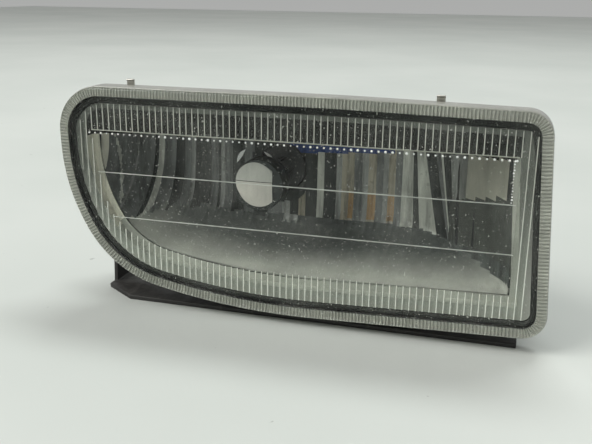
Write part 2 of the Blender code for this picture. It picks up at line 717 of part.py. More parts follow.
def cup_solid(profile, axis, centre):
    """A turned cup whose section starts and ends at its mouth."""
    middle = [i for i, (radius, _) in enumerate(profile) if radius == 0][0]
    reordered = profile[middle + 1 :] + profile[: middle + 1]
    return turned(reordered, axis, centre)


# ================================================================ bulb


def bulb_turn(angle):
    """A turn about the bulb's axis, in lamp coordinates."""
    centre = Vector((BULB_X, 0, BULB_Z))
    turn = Matrix.Rotation(angle, 4, "Y")
    return Matrix.Translation(centre) @ turn @ Matrix.Translation(-centre)


def lug_at(index, width, start, length):
    """One bayonet lug, or the notch for it, reaching out from the bulb's axis."""
    outer = NECK_BORE_RADIUS - LUG_CLEARANCE
    made = block(
        (BULB_X + BULB_BODY_RADIUS - LUG_THICK, start, BULB_Z - width / 2),
        (BULB_X + outer, start + length, BULB_Z + width / 2),
    )
    made.transform(bulb_turn(math.tau * index / LUG_COUNT))
    return made


def build_bulb(bulb, finishes):
    axis = (0, 1, 0)
    lug_back = LIP_INSIDE - GAP
    groove_front = HOUSING_BACK + GAP
    oring_space = 2 * ORING_MINOR_RADIUS + 2 * GAP
    nose_front = REFLECTOR_BACK - GAP
    profile = [
        (0, nose_front),
        (BULB_NOSE_RADIUS, nose_front),
        (BULB_NOSE_RADIUS, nose_front + BULB_NOSE_LENGTH - GAP),
        (BULB_SHOULDER_RADIUS, nose_front + BULB_NOSE_LENGTH - GAP),
        (BULB_SHOULDER_RADIUS, groove_front),
        (BULB_BODY_RADIUS - GAP, groove_front),
        (BULB_BODY_RADIUS - GAP, groove_front + oring_space),
        (BULB_SHOULDER_RADIUS, groove_front + oring_space),
        (BULB_SHOULDER_RADIUS, BULB_FLANGE_FRONT),
        (BULB_FLANGE_RADIUS, BULB_FLANGE_FRONT),
        (BULB_FLANGE_RADIUS, SOCKET_START),
        (0, SOCKET_START),
    ]
    centre = (BULB_X, 0, BULB_Z)
    base = add("bulb_base", turned(profile, axis, centre, ROUND_SIDES), finishes["black"], bulb)
    for i in range(LUG_COUNT):
        lug = lug_at(i, LUG_WIDTH, lug_back - LUG_THICK, LUG_THICK)
        join(base, add(f"bulb_lug_{i + 1}", lug, None, bulb))
    overlap = BULB_FLANGE_THICK / 2
    low = (BULB_X - SOCKET_WIDTH / 2, SOCKET_START - overlap, BULB_Z - SOCKET_HEIGHT / 2)
    high = (BULB_X + SOCKET_WIDTH / 2, BULB_BACK, BULB_Z + SOCKET_HEIGHT / 2)
    join(base, add("socket_outside", block(low, high), None, bulb))
    half_width = SOCKET_WIDTH / 2 - SOCKET_WALL
    half_height = SOCKET_HEIGHT / 2 - SOCKET_WALL
    low = (BULB_X - half_width, BULB_BACK - SOCKET_DEPTH, BULB_Z - half_height)
    high = (BULB_X + half_width, BULB_BACK + SOCKET_WALL, BULB_Z + half_height)
    cut(base, add("socket_inside", block(low, high), None, bulb))

    ring_radius = BULB_BODY_RADIUS + ORING_MINOR_RADIUS
    ring_y = groove_front + oring_space / 2
    section = [
        (
            ring_radius + ORING_MINOR_RADIUS * math.cos(math.tau * i / ORING_SIDES),
            ring_y + ORING_MINOR_RADIUS * math.sin(math.tau * i / ORING_SIDES),
        )
        for i in range(ORING_SIDES)
    ]
    add("bulb_oring", turned(section, axis, centre, ROUND_SIDES), finishes["rubber"], bulb)

    glass_back = nose_front - GAP
    glass_front = glass_back - GLASS_LENGTH
    inner = GLASS_RADIUS - GLASS_WALL
    outside = [(0, glass_front)]
    inside = [(0, glass_front + GLASS_WALL)]
    for i in range(1, DOME_STEPS + 1):
        angle = math.radians(90) * i / DOME_STEPS
        fall = 1 - math.cos(angle)
        outside.append((GLASS_RADIUS * math.sin(angle), glass_front + GLASS_RADIUS * fall))
        inside.append((inner * math.sin(angle), glass_front + GLASS_WALL + inner * fall))
    profile = outside + [(GLASS_RADIUS, glass_back), (inner, glass_back)] + inside[::-1]
    add("bulb_glass", turned(profile, axis, centre), finishes["glass"], bulb)

    filament_y = glass_front + 2 * GLASS_RADIUS
    for side, sign in (("left", -1), ("right", 1)):
        x = BULB_X + sign * POST_SPACING / 2
        start = (x, filament_y - POST_RADIUS, BULB_Z)
        length = glass_back - filament_y
        post = rod(POST_RADIUS, axis, start, length, POST_SIDES)
        add(f"filament_post_{side}", post, finishes["steel"], bulb)
        x = BULB_X + sign * TERMINAL_SPACING / 2
        floor = BULB_BACK - SOCKET_DEPTH + GAP
        low = (x - TERMINAL_WIDTH / 2, floor, BULB_Z - TERMINAL_THICK / 2)
        high = (x + TERMINAL_WIDTH / 2, floor + TERMINAL_LENGTH, BULB_Z + TERMINAL_THICK / 2)
        add(f"terminal_{side}", block(low, high), finishes["brass"], bulb)
    reach = POST_SPACING / 2 - POST_RADIUS - GAP
    start = (BULB_X - reach, filament_y, BULB_Z)
    coil = rod(FILAMENT_RADIUS, (1, 0, 0), start, 2 * reach, FILAMENT_SIDES)
    add("filament", coil, finishes["steel"], bulb)


# ================================================================ bracket and screws


def build_bracket(root, finish):
    """A U of pressed sheet: a foot, an ear at each end, two bolt tabs and an upright at the back."""
    top = BRACKET_THICK
    foot_corners = [
        (-EAR_OUTER + FOOT_CORNER_LENGTH, FOOT_FRONT, 0),
        (EAR_OUTER, FOOT_FRONT, 0),
        (EAR_OUTER, FOOT_BACK, 0),
        (-EAR_OUTER, FOOT_BACK, 0),
        (-EAR_OUTER, FOOT_FRONT + FOOT_CORNER_DEPTH, 0),
    ]
    bracket = add("bracket", slab(foot_corners, (0, 0, top)), finish, root)
    overlap = BRACKET_THICK
    for side, sign in (("left", -1), ("right", 1)):
        inner = min(sign * EAR_INNER, sign * EAR_OUTER)
        ear = [(inner, PIVOT_Y + EAR_HALF_WIDTH, 0), (inner, PIVOT_Y - EAR_HALF_WIDTH, 0)]
        for step in range(EAR_ARC_STEPS):
            angle = math.pi * (1 - (step + 0.5) / EAR_ARC_STEPS)
            y = PIVOT_Y + EAR_TOP_RADIUS * math.cos(angle)
            ear.append((inner, y, PIVOT_Z + EAR_TOP_RADIUS * math.sin(angle)))
        join(bracket, add(f"ear_{side}", slab(ear, (BRACKET_THICK, 0, 0)), None, root))
        middle = sign * (EAR_OUTER - TAB_IN)
        low = (middle - TAB_WIDTH / 2, FOOT_BACK - overlap, 0)
        high = (middle + TAB_WIDTH / 2, TAB_BACK, top)
        join(bracket, add(f"tab_{side}", block(low, high), None, root))
    low = (AIM_X - UPRIGHT_HALF_WIDTH, FOOT_BACK - overlap, 0)
    high = (AIM_X + UPRIGHT_HALF_WIDTH, UPRIGHT_BACK, top)
    join(bracket, add("upright_root", block(low, high), None, root))
    upright = [
        (AIM_X - UPRIGHT_HALF_WIDTH, UPRIGHT_Y, 0),
        (AIM_X + UPRIGHT_HALF_WIDTH, UPRIGHT_Y, 0),
    ]
    for step in range(UPRIGHT_ARC_STEPS):
        angle = math.pi * step / (UPRIGHT_ARC_STEPS - 1)
        x = AIM_X + UPRIGHT_HALF_WIDTH * math.cos(angle)
        upright.append((x, UPRIGHT_Y, AIM_Z + UPRIGHT_HALF_WIDTH * math.sin(angle)))
    join(bracket, add("upright", slab(upright, (0, BRACKET_THICK, 0)), None, root))

    for side, sign in (("left", -1), ("right", 1)):
        start = (sign * (EAR_INNER - BRACKET_THICK), PIVOT_Y, PIVOT_Z)
        radius = BOLT_RADIUS + RUNNING_CLEARANCE
        hole = rod(radius, (sign, 0, 0), start, 3 * BRACKET_THICK)
        cut(bracket, add(f"ear_hole_{side}", hole, None, root))
        middle = sign * (EAR_OUTER - TAB_IN)
        start = (middle, TAB_BACK - TAB_HOLE_EDGE, -top)
        hole = rod(TAB_HOLE_RADIUS, (0, 0, 1), start, 3 * top)
        cut(bracket, add(f"tab_hole_{side}", hole, None, root))
    bush_radius = AIM_SCREW_RADIUS + RUNNING_CLEARANCE + AIM_BUSH_WALL
    start = (AIM_X, UPRIGHT_Y - BRACKET_THICK, AIM_Z)
    hole = rod(bush_radius + GAP, (0, 1, 0), start, 3 * BRACKET_THICK)
    cut(bracket, add("upright_hole", hole, None, root))


def build_pivots(root, steel, nylon):
    """Shoulder bolts through the ears into the housing's bosses, each with a washer between."""
    for side, sign in (("left", -1), ("right", 1)):
        head = EAR_OUTER + GAP
        tip = BOSS_END - BOLT_REACH + GAP
        profile = [
            (0, tip),
            (BOLT_RADIUS, tip),
            (BOLT_RADIUS, head),
            (BOLT_FLANGE_RADIUS, head),
            (BOLT_FLANGE_RADIUS, head + BOLT_FLANGE_THICK),
            (0, head + BOLT_FLANGE_THICK),
        ]
        shank = turned(profile, (sign, 0, 0), (0, PIVOT_Y, PIVOT_Z), SMALL_SIDES)
        bolt = add(f"pivot_bolt_{side}", shank, steel, root)
        start = (sign * (head + BOLT_FLANGE_THICK / 2), PIVOT_Y, PIVOT_Z)
        hexagon = rod(BOLT_HEAD_RADIUS, (sign, 0, 0), start, BOLT_HEAD_THICK, HEX_SIDES)
        join(bolt, add(f"bolt_head_{side}", hexagon, None, root))
        start = (sign * WASHER_INNER, PIVOT_Y, PIVOT_Z)
        bore = BOLT_RADIUS + RUNNING_CLEARANCE
        washer = tube(WASHER_RADIUS, bore, (sign, 0, 0), start, WASHER_THICK)
        add(f"pivot_washer_{side}", washer, nylon, root)


def build_aim_bush(root, finish):
    """A flanged bush in the upright, in which the screw turns."""
    bore = AIM_SCREW_RADIUS + RUNNING_CLEARANCE
    outer = bore + AIM_BUSH_WALL
    flange = outer + AIM_BUSH_FLANGE
    start = UPRIGHT_Y - GAP
    end = UPRIGHT_BACK + GAP + AIM_BUSH_WALL
    profile = [
        (bore, start),
        (outer, start),
        (outer, UPRIGHT_BACK + GAP),
        (flange, UPRIGHT_BACK + GAP),
        (flange, end),
        (bore, end),
    ]
    add("aim_bush", turned(profile, (0, 1, 0), (AIM_X, 0, AIM_Z)), finish, root)
    return end


def build_aim_screw(screw, bush_end, steel):
    """The screw with its head behind the bush, and a ring that keeps it from pulling out."""
    head = bush_end + GAP
    groove_back = UPRIGHT_Y - 2 * GAP
    groove_front = groove_back - AIM_COLLAR_THICK - 2 * GAP
    neck = AIM_SCREW_RADIUS - 2 * GAP
    profile = [
        (0, AIM_SCREW_TIP),
        (AIM_SCREW_RADIUS - GAP, AIM_SCREW_TIP),
        (AIM_SCREW_RADIUS, AIM_SCREW_TIP + GAP),
        (AIM_SCREW_RADIUS, groove_front),
        (neck, groove_front),
        (neck, groove_back),
        (AIM_SCREW_RADIUS, groove_back),
        (AIM_SCREW_RADIUS, head),
        (AIM_COLLAR_RADIUS, head),
        (AIM_COLLAR_RADIUS, head + AIM_COLLAR_THICK),
        (AIM_HEAD_RADIUS, head + AIM_COLLAR_THICK),
        (AIM_HEAD_RADIUS, head + AIM_HEAD_THICK),
        (AIM_HEAD_RADIUS * SCREW_HEAD_CHAMFER, head + AIM_HEAD_THICK + GAP),
        (0, head + AIM_HEAD_THICK + GAP),
    ]
    made = turned(profile, (0, 1, 0), (AIM_X, 0, AIM_Z))
    aim_screw = add("aim_screw", made, steel, screw)
    slot_half = AIM_SCREW_RADIUS * SCREW_SLOT_WIDTH
    reach = AIM_HEAD_RADIUS * SCREW_SLOT_REACH
    back = head + AIM_HEAD_THICK
    for name, half_x, half_z in (("flat", reach, slot_half), ("upright", slot_half, reach)):
        low = (AIM_X - half_x, back - AIM_HEAD_THICK / 2, AIM_Z - half_z)
        high = (AIM_X + half_x, back + AIM_HEAD_THICK, AIM_Z + half_z)
        cut(aim_screw, add(f"aim_slot_{name}", block(low, high), None, screw))
    start = (AIM_X, groove_front + GAP, AIM_Z)
    keeper = tube(RETAINER_RADIUS, neck + GAP, (0, 1, 0), start, AIM_COLLAR_THICK)
    add("aim_screw_retainer", keeper, steel, screw)


# ================================================================ the whole lamp


def main():
    clear_scene()
    clear = material("lens_clear", (0.74, 0.78, 0.74), 0.12, alpha=0.35, transmission=0.9)
    black = material("housing_black", (0.02, 0.021, 0.022), 0.55)
    seal = material("seal_black", (0.012, 0.013, 0.013), 0.8)
    mirror = material("reflector_bright", (0.72, 0.73, 0.72), 0.12, metallic=1.0)
    shield = material("shield_grey", (0.55, 0.56, 0.55), 0.3, metallic=0.9)
    zinc = material("zinc_steel", (0.6, 0.6, 0.58), 0.35, metallic=1.0)
    paint = material("bracket_paint", (0.018, 0.018, 0.02), 0.45)
    nylon = material("nylon_white", (0.78, 0.77, 0.72), 0.5)
    brass = material("brass_yellow", (0.75, 0.58, 0.28), 0.3, metallic=1.0)
    glass = material("bulb_clear", (0.95, 0.95, 0.95), 0.05, alpha=0.3, transmission=1.0)

    whole = empty("fog_light", (0, 0, 0))
    lamp = empty("tilt_axis", (0, PIVOT_Y, PIVOT_Z), whole)
    bulb = empty("bulb_axis", (BULB_X, NECK_BACK, BULB_Z), lamp)
    screw = empty("aim_screw_axis", (AIM_X, UPRIGHT_BACK, AIM_Z), whole)

    build_bracket(whole, paint)
    build_pivots(whole, zinc, nylon)
    bush_end = build_aim_bush(whole, nylon)
    build_aim_screw(screw, bush_end, zinc)
    build_housing(lamp, black)
    build_lens(lamp, clear)
    build_seal(lamp, seal)
    build_reflector(lamp, mirror)
    build_shield(lamp, shield, zinc)
    build_pivot_inserts(lamp, brass)
    build_aim_nut(lamp, nylon)
    build_lens_clips(lamp, zinc)
    build_breathers(lamp, seal)
    finishes = {"black": black, "rubber": seal, "glass": glass, "steel": zinc, "brass": brass}
    build_bulb(bulb, finishes)
    whole.location = (0, -OVERALL_DEPTH / 2, 0)


main()
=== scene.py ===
"""Looks of the bumper fog light: its clear fluted lens, bright inside, moulded back and steel bracket."""

import math
import random

import bpy
from mathutils import Matrix, Vector


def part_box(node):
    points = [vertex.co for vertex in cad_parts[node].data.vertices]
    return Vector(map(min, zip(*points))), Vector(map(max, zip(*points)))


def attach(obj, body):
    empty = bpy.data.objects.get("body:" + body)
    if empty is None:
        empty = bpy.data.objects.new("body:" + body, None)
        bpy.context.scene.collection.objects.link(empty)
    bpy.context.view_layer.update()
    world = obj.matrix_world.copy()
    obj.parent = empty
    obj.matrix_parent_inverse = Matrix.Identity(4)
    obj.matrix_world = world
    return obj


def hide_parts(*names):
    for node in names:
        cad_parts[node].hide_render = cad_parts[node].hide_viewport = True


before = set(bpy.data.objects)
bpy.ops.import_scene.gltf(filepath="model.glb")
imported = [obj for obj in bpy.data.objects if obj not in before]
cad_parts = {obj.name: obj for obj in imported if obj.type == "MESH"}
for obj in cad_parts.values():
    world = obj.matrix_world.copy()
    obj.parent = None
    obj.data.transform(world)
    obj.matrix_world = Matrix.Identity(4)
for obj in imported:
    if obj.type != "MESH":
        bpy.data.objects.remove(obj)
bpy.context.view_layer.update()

MM = 0.001
random.seed(7)

# ---------------------------------------------------------------- places taken from the frame
lens_low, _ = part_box("lens")
FRONT = lens_low.y  # the lens's front face
BOTTOM = lens_low.z  # the lens's lowest point
shield_low, shield_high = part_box("bulb_shield")
glass_low, glass_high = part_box("bulb_glass")
BULB_X = (glass_low.x + glass_high.x) / 2
BULB_Z = (glass_low.z + glass_high.z) / 2

# ---------------------------------------------------------------- lens outline, as the frame has it
LENS_WIDTH = 210.4 * MM
LENS_HEIGHT = 93.8 * MM
LEFT = -LENS_WIDTH / 2
RIGHT = LENS_WIDTH / 2
LEAST_RADIUS = 1.5 * MM
FINE = 3  # how much finer than the frame's the corners are
# x, z, corner radius, steps round the corner, pieces of the edge after it
CORNERS = [
    (LEFT + 81.0 * MM, -1.0 * MM, 300.0 * MM, 6, 5),
    (RIGHT, 3.0 * MM, 10.0 * MM, 5, 4),
    (RIGHT - 5.6 * MM, LENS_HEIGHT - 1.4 * MM, 10.0 * MM, 5, 3),
    (20.0 * MM, LENS_HEIGHT, 1500.0 * MM, 2, 6),
    (LEFT, LENS_HEIGHT, 20.0 * MM, 6, 1),
    (LEFT + 1.2 * MM, 49.5 * MM, 76.0 * MM, 4, 1),
    (LEFT + 21.2 * MM, 11.0 * MM, 50.0 * MM, 6, 1),
]

# ---------------------------------------------------------------- lens details, depths from its front
EDGE_ROUND = 2.4 * MM
RIM_SKIN = 1.2 * MM
PANE_THICK = 4.0 * MM
RIM_INSET = 4.4 * MM
RIM_DEPTH = 11.0 * MM
RIM_WALL = 2.1 * MM
RIB_PITCH = 1.4 * MM
RIB_DEPTH = 0.55 * MM
RIB_INSET = 1.5 * MM
SAFE = 0.12 * MM  # keeps the outside within the frame's flat-sided outline
FLUTE_PITCH = 2.75 * MM
FLUTE_DEPTH = 0.3 * MM
RIDGE_WIDTH = 0.36 * MM
RIDGE_DEPTH = 0.32 * MM
BAND_INSET = 6.7 * MM  # where the fluted band starts, inside the seal
TOP_STRIP = 1.2 * MM  # clear strip between the seal and the upper flutes
LOW_STRIP = 0.5 * MM  # the same below the lower flutes
LAST_FLUTE = 9.5 * MM  # no flute stands nearer to the right edge than this
WINDOW_TOP = BOTTOM + 74.6 * MM
WINDOW_RIGHT = 88.5 * MM
# the window's lower left edge, (x, height above the lens's lowest point)
WINDOW_EDGE_MM = [
    (-91.5, 74.6), (-91.0, 70.6), (-87.9, 53.1), (-86.1, 44.3),
    (-82.6, 36.9), (-77.1, 31.0), (-67.7, 26.4), (-58.2, 23.7),
    (-39.5, 19.7), (-21.0, 18.2), (92.0, 19.2),
]
WINDOW_EDGE = [(x * MM, z * MM) for x, z in WINDOW_EDGE_MM]
RIGHT_BEADS = 15  # in the dotted line of painted glints down the window's right side
# height above the lens's lowest point, left end, right end
FINE_LINES = [(56.2 * MM, -88.0 * MM, 88.6 * MM), (36.4 * MM, -81.5 * MM, 89.4 * MM)]


# ================================================================ outline


def corner_arc(before, corner, after, radius, steps):
    """Points of the arc that rounds one corner of a polygon."""
    to_before = (before - corner).normalized()
    to_after = (after - corner).normalized()
    half = to_before.angle(to_after) / 2
    centre = corner + (to_before + to_after).normalized() * (radius / math.sin(half))
    start = corner + to_before * (radius / math.tan(half)) - centre
    end = corner + to_after * (radius / math.tan(half)) - centre
    sweep = start.angle(end)
    points = []
    for step in range(steps + 1):
        share = step / steps
        a = math.sin((1 - share) * sweep) / math.sin(sweep)
        b = math.sin(share * sweep) / math.sin(sweep)
        points.append(centre + start * a + end * b)
    return points


def moved_in(corners, inset):
    """The polygon with every edge moved inwards by inset. Corners run anticlockwise."""
    lines = []
    for here, after in zip(corners, corners[1:] + corners[:1]):
        along = (after - here).normalized()
        lines.append((here + Vector((-along.y, along.x)) * inset, along))
    result = []
    for i, (other, direction) in enumerate(lines):
        start, along = lines[i - 1]
        reach = (other - start).cross(direction) / along.cross(direction)
        result.append(start + along * reach)
    return result


def raw_outline(inset):
    """Points round the lens, anticlockwise from the front, moved in by inset."""
    moved = moved_in([Vector(corner[:2]) for corner in CORNERS], inset)
    count = len(CORNERS)
    arcs = []
    for i, (_, _, radius, steps, _) in enumerate(CORNERS):
        size = max(radius - inset, LEAST_RADIUS)
        arcs.append(corner_arc(moved[i - 1], moved[i], moved[(i + 1) % count], size, steps * FINE))
    points = []
    for i, corner in enumerate(CORNERS):
        points += arcs[i]
        after = arcs[(i + 1) % count][0]
        pieces = corner[4] * FINE
        points += [arcs[i][-1].lerp(after, piece / pieces) for piece in range(1, pieces)]
    return points


RAW = raw_outline(0.0)
SHIFT = Vector(
    (
        (min(p.x for p in RAW) + max(p.x for p in RAW)) / 2,
        min(p.y for p in RAW) - BOTTOM,
    )
)


def outline(inset, depth):
    """The outline moved in by inset, at a depth behind the lens's front face."""
    return [Vector((p.x - SHIFT.x, FRONT + depth, p.y - SHIFT.y)) for p in raw_outline(inset)]


def heights_at(points, x):
    """Lowest and highest z where a closed line of points crosses x, or None beside it."""
    found = []
    for a, b in zip(points, points[1:] + points[:1]):
        if min(a.x, b.x) <= x < max(a.x, b.x):
            found.append(a.z + (b.z - a.z) * (x - a.x) / (b.x - a.x))
    return (min(found), max(found)) if len(found) > 1 else None


def even_outline(count):
    """count points evenly spaced round the outline, each with its inward direction."""
    points = [Vector((p.x - SHIFT.x, p.y - SHIFT.y)) for p in RAW]
    ends = points[1:] + points[:1]
    lengths = [(b - a).length for a, b in zip(points, ends)]
    total = sum(lengths)
    result = []
    edge, passed = 0, 0.0
    for i in range(count):
        wanted = total * i / count
        while passed + lengths[edge] < wanted:
            passed += lengths[edge]
            edge += 1
        point = points[edge].lerp(ends[edge], (wanted - passed) / lengths[edge])
        result.append(point)
    inward = []
    for i in range(count):
        along = (result[(i + 3) % count] - result[i - 3]).normalized()
        inward.append(Vector((-along.y, along.x)))
    return list(zip(result, inward))


# ================================================================ modelling helpers

SHARP_ANGLE = 35  # degrees between two faces, past which their edge counts as sharp
BEVEL_STEPS = 2


def nothing_selected():
    """Leaves edit mode and deselects every object."""
    if bpy.context.object and bpy.context.object.mode != "OBJECT":
        bpy.ops.object.mode_set(mode="OBJECT")
    bpy.ops.object.select_all(action="DESELECT")


def only(piece):
    """Selects this piece alone and makes it active."""
    nothing_selected()
    bpy.context.view_layer.objects.active = piece
    piece.select_set(True)


def edit(piece, mode="VERT"):
    """Opens this piece alone in edit mode, selecting by points, edges or faces."""
    only(piece)
    bpy.ops.object.mode_set(mode="EDIT")
    bpy.ops.mesh.select_mode(type=mode)


def volume(mesh):
    """Six times the signed volume, positive where the faces point out."""
    mesh.calc_loop_triangles()
    total = 0.0
    for triangle in mesh.loop_triangles:
        a, b, c = (mesh.vertices[i].co for i in triangle.vertices)
        total += a.dot(b.cross(c))
    return total


def face_out(piece):
    """Turns the faces of a closed piece outwards."""
    edit(piece)
    bpy.ops.mesh.select_all(action="SELECT")
    bpy.ops.mesh.normals_make_consistent(inside=False)
    bpy.ops.object.mode_set(mode="OBJECT")
    if volume(piece.data) < 0:
        edit(piece)
        bpy.ops.mesh.select_all(action="SELECT")
        bpy.ops.mesh.flip_normals()
        bpy.ops.object.mode_set(mode="OBJECT")


def shade(piece, degrees):
    """Smooth over every edge flatter than an angle, sharp at the others."""
    only(piece)
    bpy.ops.object.shade_smooth_by_angle(angle=math.radians(degrees))


def settle(piece):
    """Puts the piece's place into its mesh."""
    only(piece)
    bpy.ops.object.transform_apply(location=True, rotation=True, scale=True)


def apply(piece, kind, **settings):
    """Adds a modifier with these settings and applies it."""
    modifier = piece.modifiers.new(kind.lower(), kind)
    for key, value in settings.items():
        setattr(modifier, key, value)
    only(piece)
    bpy.ops.object.modifier_apply(modifier=modifier.name)


def loft(name, loops, closed=False, capped=True):
    """A skin pulled through loops of points: closed end to end as a ring, or with flat ends."""
    count = len(loops[0])
    nothing_selected()
    bpy.ops.mesh.primitive_circle_add(vertices=count, radius=1.0, fill_type="NOTHING")
    piece = bpy.context.object
    piece.name = name
    edit(piece)
    bpy.ops.mesh.select_all(action="SELECT")
    bpy.ops.object.mode_set(mode="OBJECT")
    for vertex, point in zip(piece.data.vertices, loops[0]):
        vertex.co = point
    for loop in loops[1:]:
        bpy.ops.object.mode_set(mode="EDIT")
        bpy.ops.mesh.extrude_region_move()
        bpy.ops.object.mode_set(mode="OBJECT")
        for vertex, point in zip(piece.data.vertices[-count:], loop):
            vertex.co = point
    if closed or capped:
        total = len(piece.data.vertices)
        edit(piece)
        bpy.ops.mesh.select_all(action="DESELECT")
        bpy.ops.object.mode_set(mode="OBJECT")
        ends = [range(count), range(total - count, total)]
        for end in ends if closed else ends[:1]:
            for i in end:
                piece.data.vertices[i].select = True
        bpy.ops.object.mode_set(mode="EDIT")
        if closed:
            bpy.ops.mesh.bridge_edge_loops()
        else:
            bpy.ops.mesh.edge_face_add()
            bpy.ops.mesh.select_all(action="DESELECT")
            bpy.ops.object.mode_set(mode="OBJECT")
            for i in ends[1]:
                piece.data.vertices[i].select = True
            bpy.ops.object.mode_set(mode="EDIT")
            bpy.ops.mesh.edge_face_add()
        bpy.ops.object.mode_set(mode="OBJECT")
        face_out(piece)
    return piece


def turned(name, profile, centre, sides):
    """A piece turned about an axis that runs along y, from (radius, distance along it) points."""
    loops = []
    for radius, along in profile:
        loop = []
        for i in range(sides):
            angle = math.tau * i / sides
            offset = Vector((radius * math.cos(angle), along, radius * math.sin(angle)))
            loop.append(Vector(centre) + offset)
        loops.append(loop)
    return loft(name, loops)


def bar(name, low, high, bevel=0.0):
    """A box with softened edges."""
    low, high = Vector(low), Vector(high)
    nothing_selected()
    bpy.ops.mesh.primitive_cube_add(size=1.0, location=(low + high) / 2, scale=high - low)
    piece = bpy.context.object
    piece.name = name
    settle(piece)
    if bevel:
        edit(piece, "EDGE")
        bpy.ops.mesh.select_all(action="SELECT")
        bpy.ops.mesh.bevel(offset=bevel, segments=BEVEL_STEPS, affect="EDGES")
        bpy.ops.object.mode_set(mode="OBJECT")
    return piece


def joined(name, pieces):
    """Several pieces as one object, in the first one's place."""
    nothing_selected()
    for piece in pieces:
        piece.select_set(True)
    bpy.context.view_layer.objects.active = pieces[0]
    bpy.ops.object.join()
    pieces[0].name = name
    return pieces[0]


def copies(template, places):
    """Copies of a template's mesh, each scaled about the template's origin and moved."""
    made = []
    for place, scale in places:
        piece = template.copy()
        piece.data = template.data.copy()
        bpy.context.scene.collection.objects.link(piece)
        turn = Matrix.Diagonal((*scale, 1.0))
        piece.data.transform(Matrix.Translation(Vector(place)) @ turn)
        made.append(piece)
    bpy.data.objects.remove(template, do_unlink=True)
    return made


def finished(piece, body, slot, *materials, replaces=(), angle=SHARP_ANGLE):
    """Gives a piece its materials and body, and hides the frame nodes that it stands for."""
    if not piece.data.materials:
        for material in materials:
            piece.data.materials.append(material)
    shade(piece, angle)
    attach(piece, body)
    if replaces:
        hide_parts(*replaces)
    return piece


def softened(node, name, width):
    """A copy of a frame node with its sharp edges rounded."""
    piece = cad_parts[node].copy()
    piece.data = piece.data.copy()
    for key in list(piece.keys()):
        del piece[key]
    piece.parent = None
    piece.name = name
    bpy.context.scene.collection.objects.link(piece)
    piece.data.materials.clear()
    edit(piece)
    bpy.ops.mesh.select_all(action="SELECT")
    bpy.ops.mesh.remove_doubles(threshold=0.01 * MM)
    bpy.ops.mesh.tris_convert_to_quads(face_threshold=0.02, shape_threshold=3.1)
    bpy.ops.mesh.dissolve_limited(angle_limit=math.radians(0.5))
    bpy.ops.object.mode_set(mode="OBJECT")
    if width:
        apply(
            piece,
            "BEVEL",
            width=width,
            segments=BEVEL_STEPS,
            limit_method="ANGLE",
            angle_limit=math.radians(SHARP_ANGLE),
            harden_normals=False,
        )
    return piece


# ================================================================ materials


class Finish:
    """A node material on Object coordinates, with a few helpers to build its patterns."""

    def __init__(self, name):
        self.material = bpy.data.materials.new(name)
        self.material.use_nodes = True
        self.tree = self.material.node_tree
        self.shader = self.tree.nodes["Principled BSDF"]
        self.out = self.tree.nodes["Material Output"]
        self.coordinates = self.add("ShaderNodeTexCoord").outputs["Object"]

    def add(self, kind, **settings):
        node = self.tree.nodes.new(kind)
        for key, value in settings.items():
            setattr(node, key, value)
        return node

    def link(self, start, end):
        self.tree.links.new(start, end)

    def noise(self, scale, detail=3.0, stretch=None, rough=0.55):
        """Noise with its features about 1/scale metres across, stretched along an axis if asked."""
        where = self.coordinates
        if stretch:
            mapping = self.add("ShaderNodeMapping")
            mapping.inputs["Scale"].default_value = stretch
            self.link(where, mapping.inputs["Vector"])
            where = mapping.outputs["Vector"]
        node = self.add("ShaderNodeTexNoise")
        node.inputs["Scale"].default_value = scale
        node.inputs["Detail"].default_value = detail
        node.inputs["Roughness"].default_value = rough
        self.link(where, node.inputs["Vector"])
        return node.outputs["Fac"]

    def remap(self, value, low, high, to_low=0.0, to_high=1.0):
        node = self.add("ShaderNodeMapRange")
        for key, number in (("From Min", low), ("From Max", high), ("To Min", to_low), ("To Max", to_high)):
            node.inputs[key].default_value = number
        self.link(value, node.inputs["Value"])
        return node.outputs["Result"]

    def times(self, a, b, operation="MULTIPLY"):
        node = self.add("ShaderNodeMath", operation=operation)
        for socket, value in zip(node.inputs, (a, b)):
            if isinstance(value, (int, float)):
                socket.default_value = value
            else:
                self.link(value, socket)
        return node.outputs["Value"]

    def mix(self, share, a, b):
        """A colour between a and b."""
        node = self.add("ShaderNodeMix", data_type="RGBA")
        self.link(share, node.inputs["Factor"])
        for socket, value in ((node.inputs[6], a), (node.inputs[7], b)):
            if isinstance(value, tuple):
                socket.default_value = (*value, 1.0)
            else:
                self.link(value, socket)
        return node.outputs[2]

    def facing_up(self):
        """0 on faces that stand or hang, up to 1 on those that face up."""
        split = self.add("ShaderNodeSeparateXYZ")
        self.link(self.add("ShaderNodeNewGeometry").outputs["Normal"], split.inputs["Vector"])
        return self.remap(split.outputs["Z"], 0.2, 0.95)

    def height(self, axis="Z"):
        """One of the coordinates, which is the height unless another is named."""
        split = self.add("ShaderNodeSeparateXYZ")
        self.link(self.coordinates, split.inputs["Vector"])
        return split.outputs[axis]

    def bump(self, height, depth):
        node = self.add("ShaderNodeBump")
        node.inputs["Distance"].default_value = depth
        self.link(height, node.inputs["Height"])
        self.link(node.outputs["Normal"], self.shader.inputs["Normal"])

    def set(self, **values):
        for key, value in values.items():
            socket = self.shader.inputs[key.replace("_", " ")]
            if isinstance(value, tuple):
                socket.default_value = (*value, 1.0)
            elif isinstance(value, (int, float)):
                socket.default_value = value
            else:
                self.link(value, socket)


DUST = (0.42, 0.41, 0.36)
DEEP_START, DEEP_END = 18 * MM, 40 * MM  # depths between which a finish darkens to its deep tone, painted shade deeper in the lamp
LOW_START, LOW_END = 20 * MM, 60 * MM  # heights between which a finish leaves its paler low tone, painted light on the lower parts


def toned(colour, share):
    """A colour made darker or lighter."""
    return tuple(part * share for part in colour)


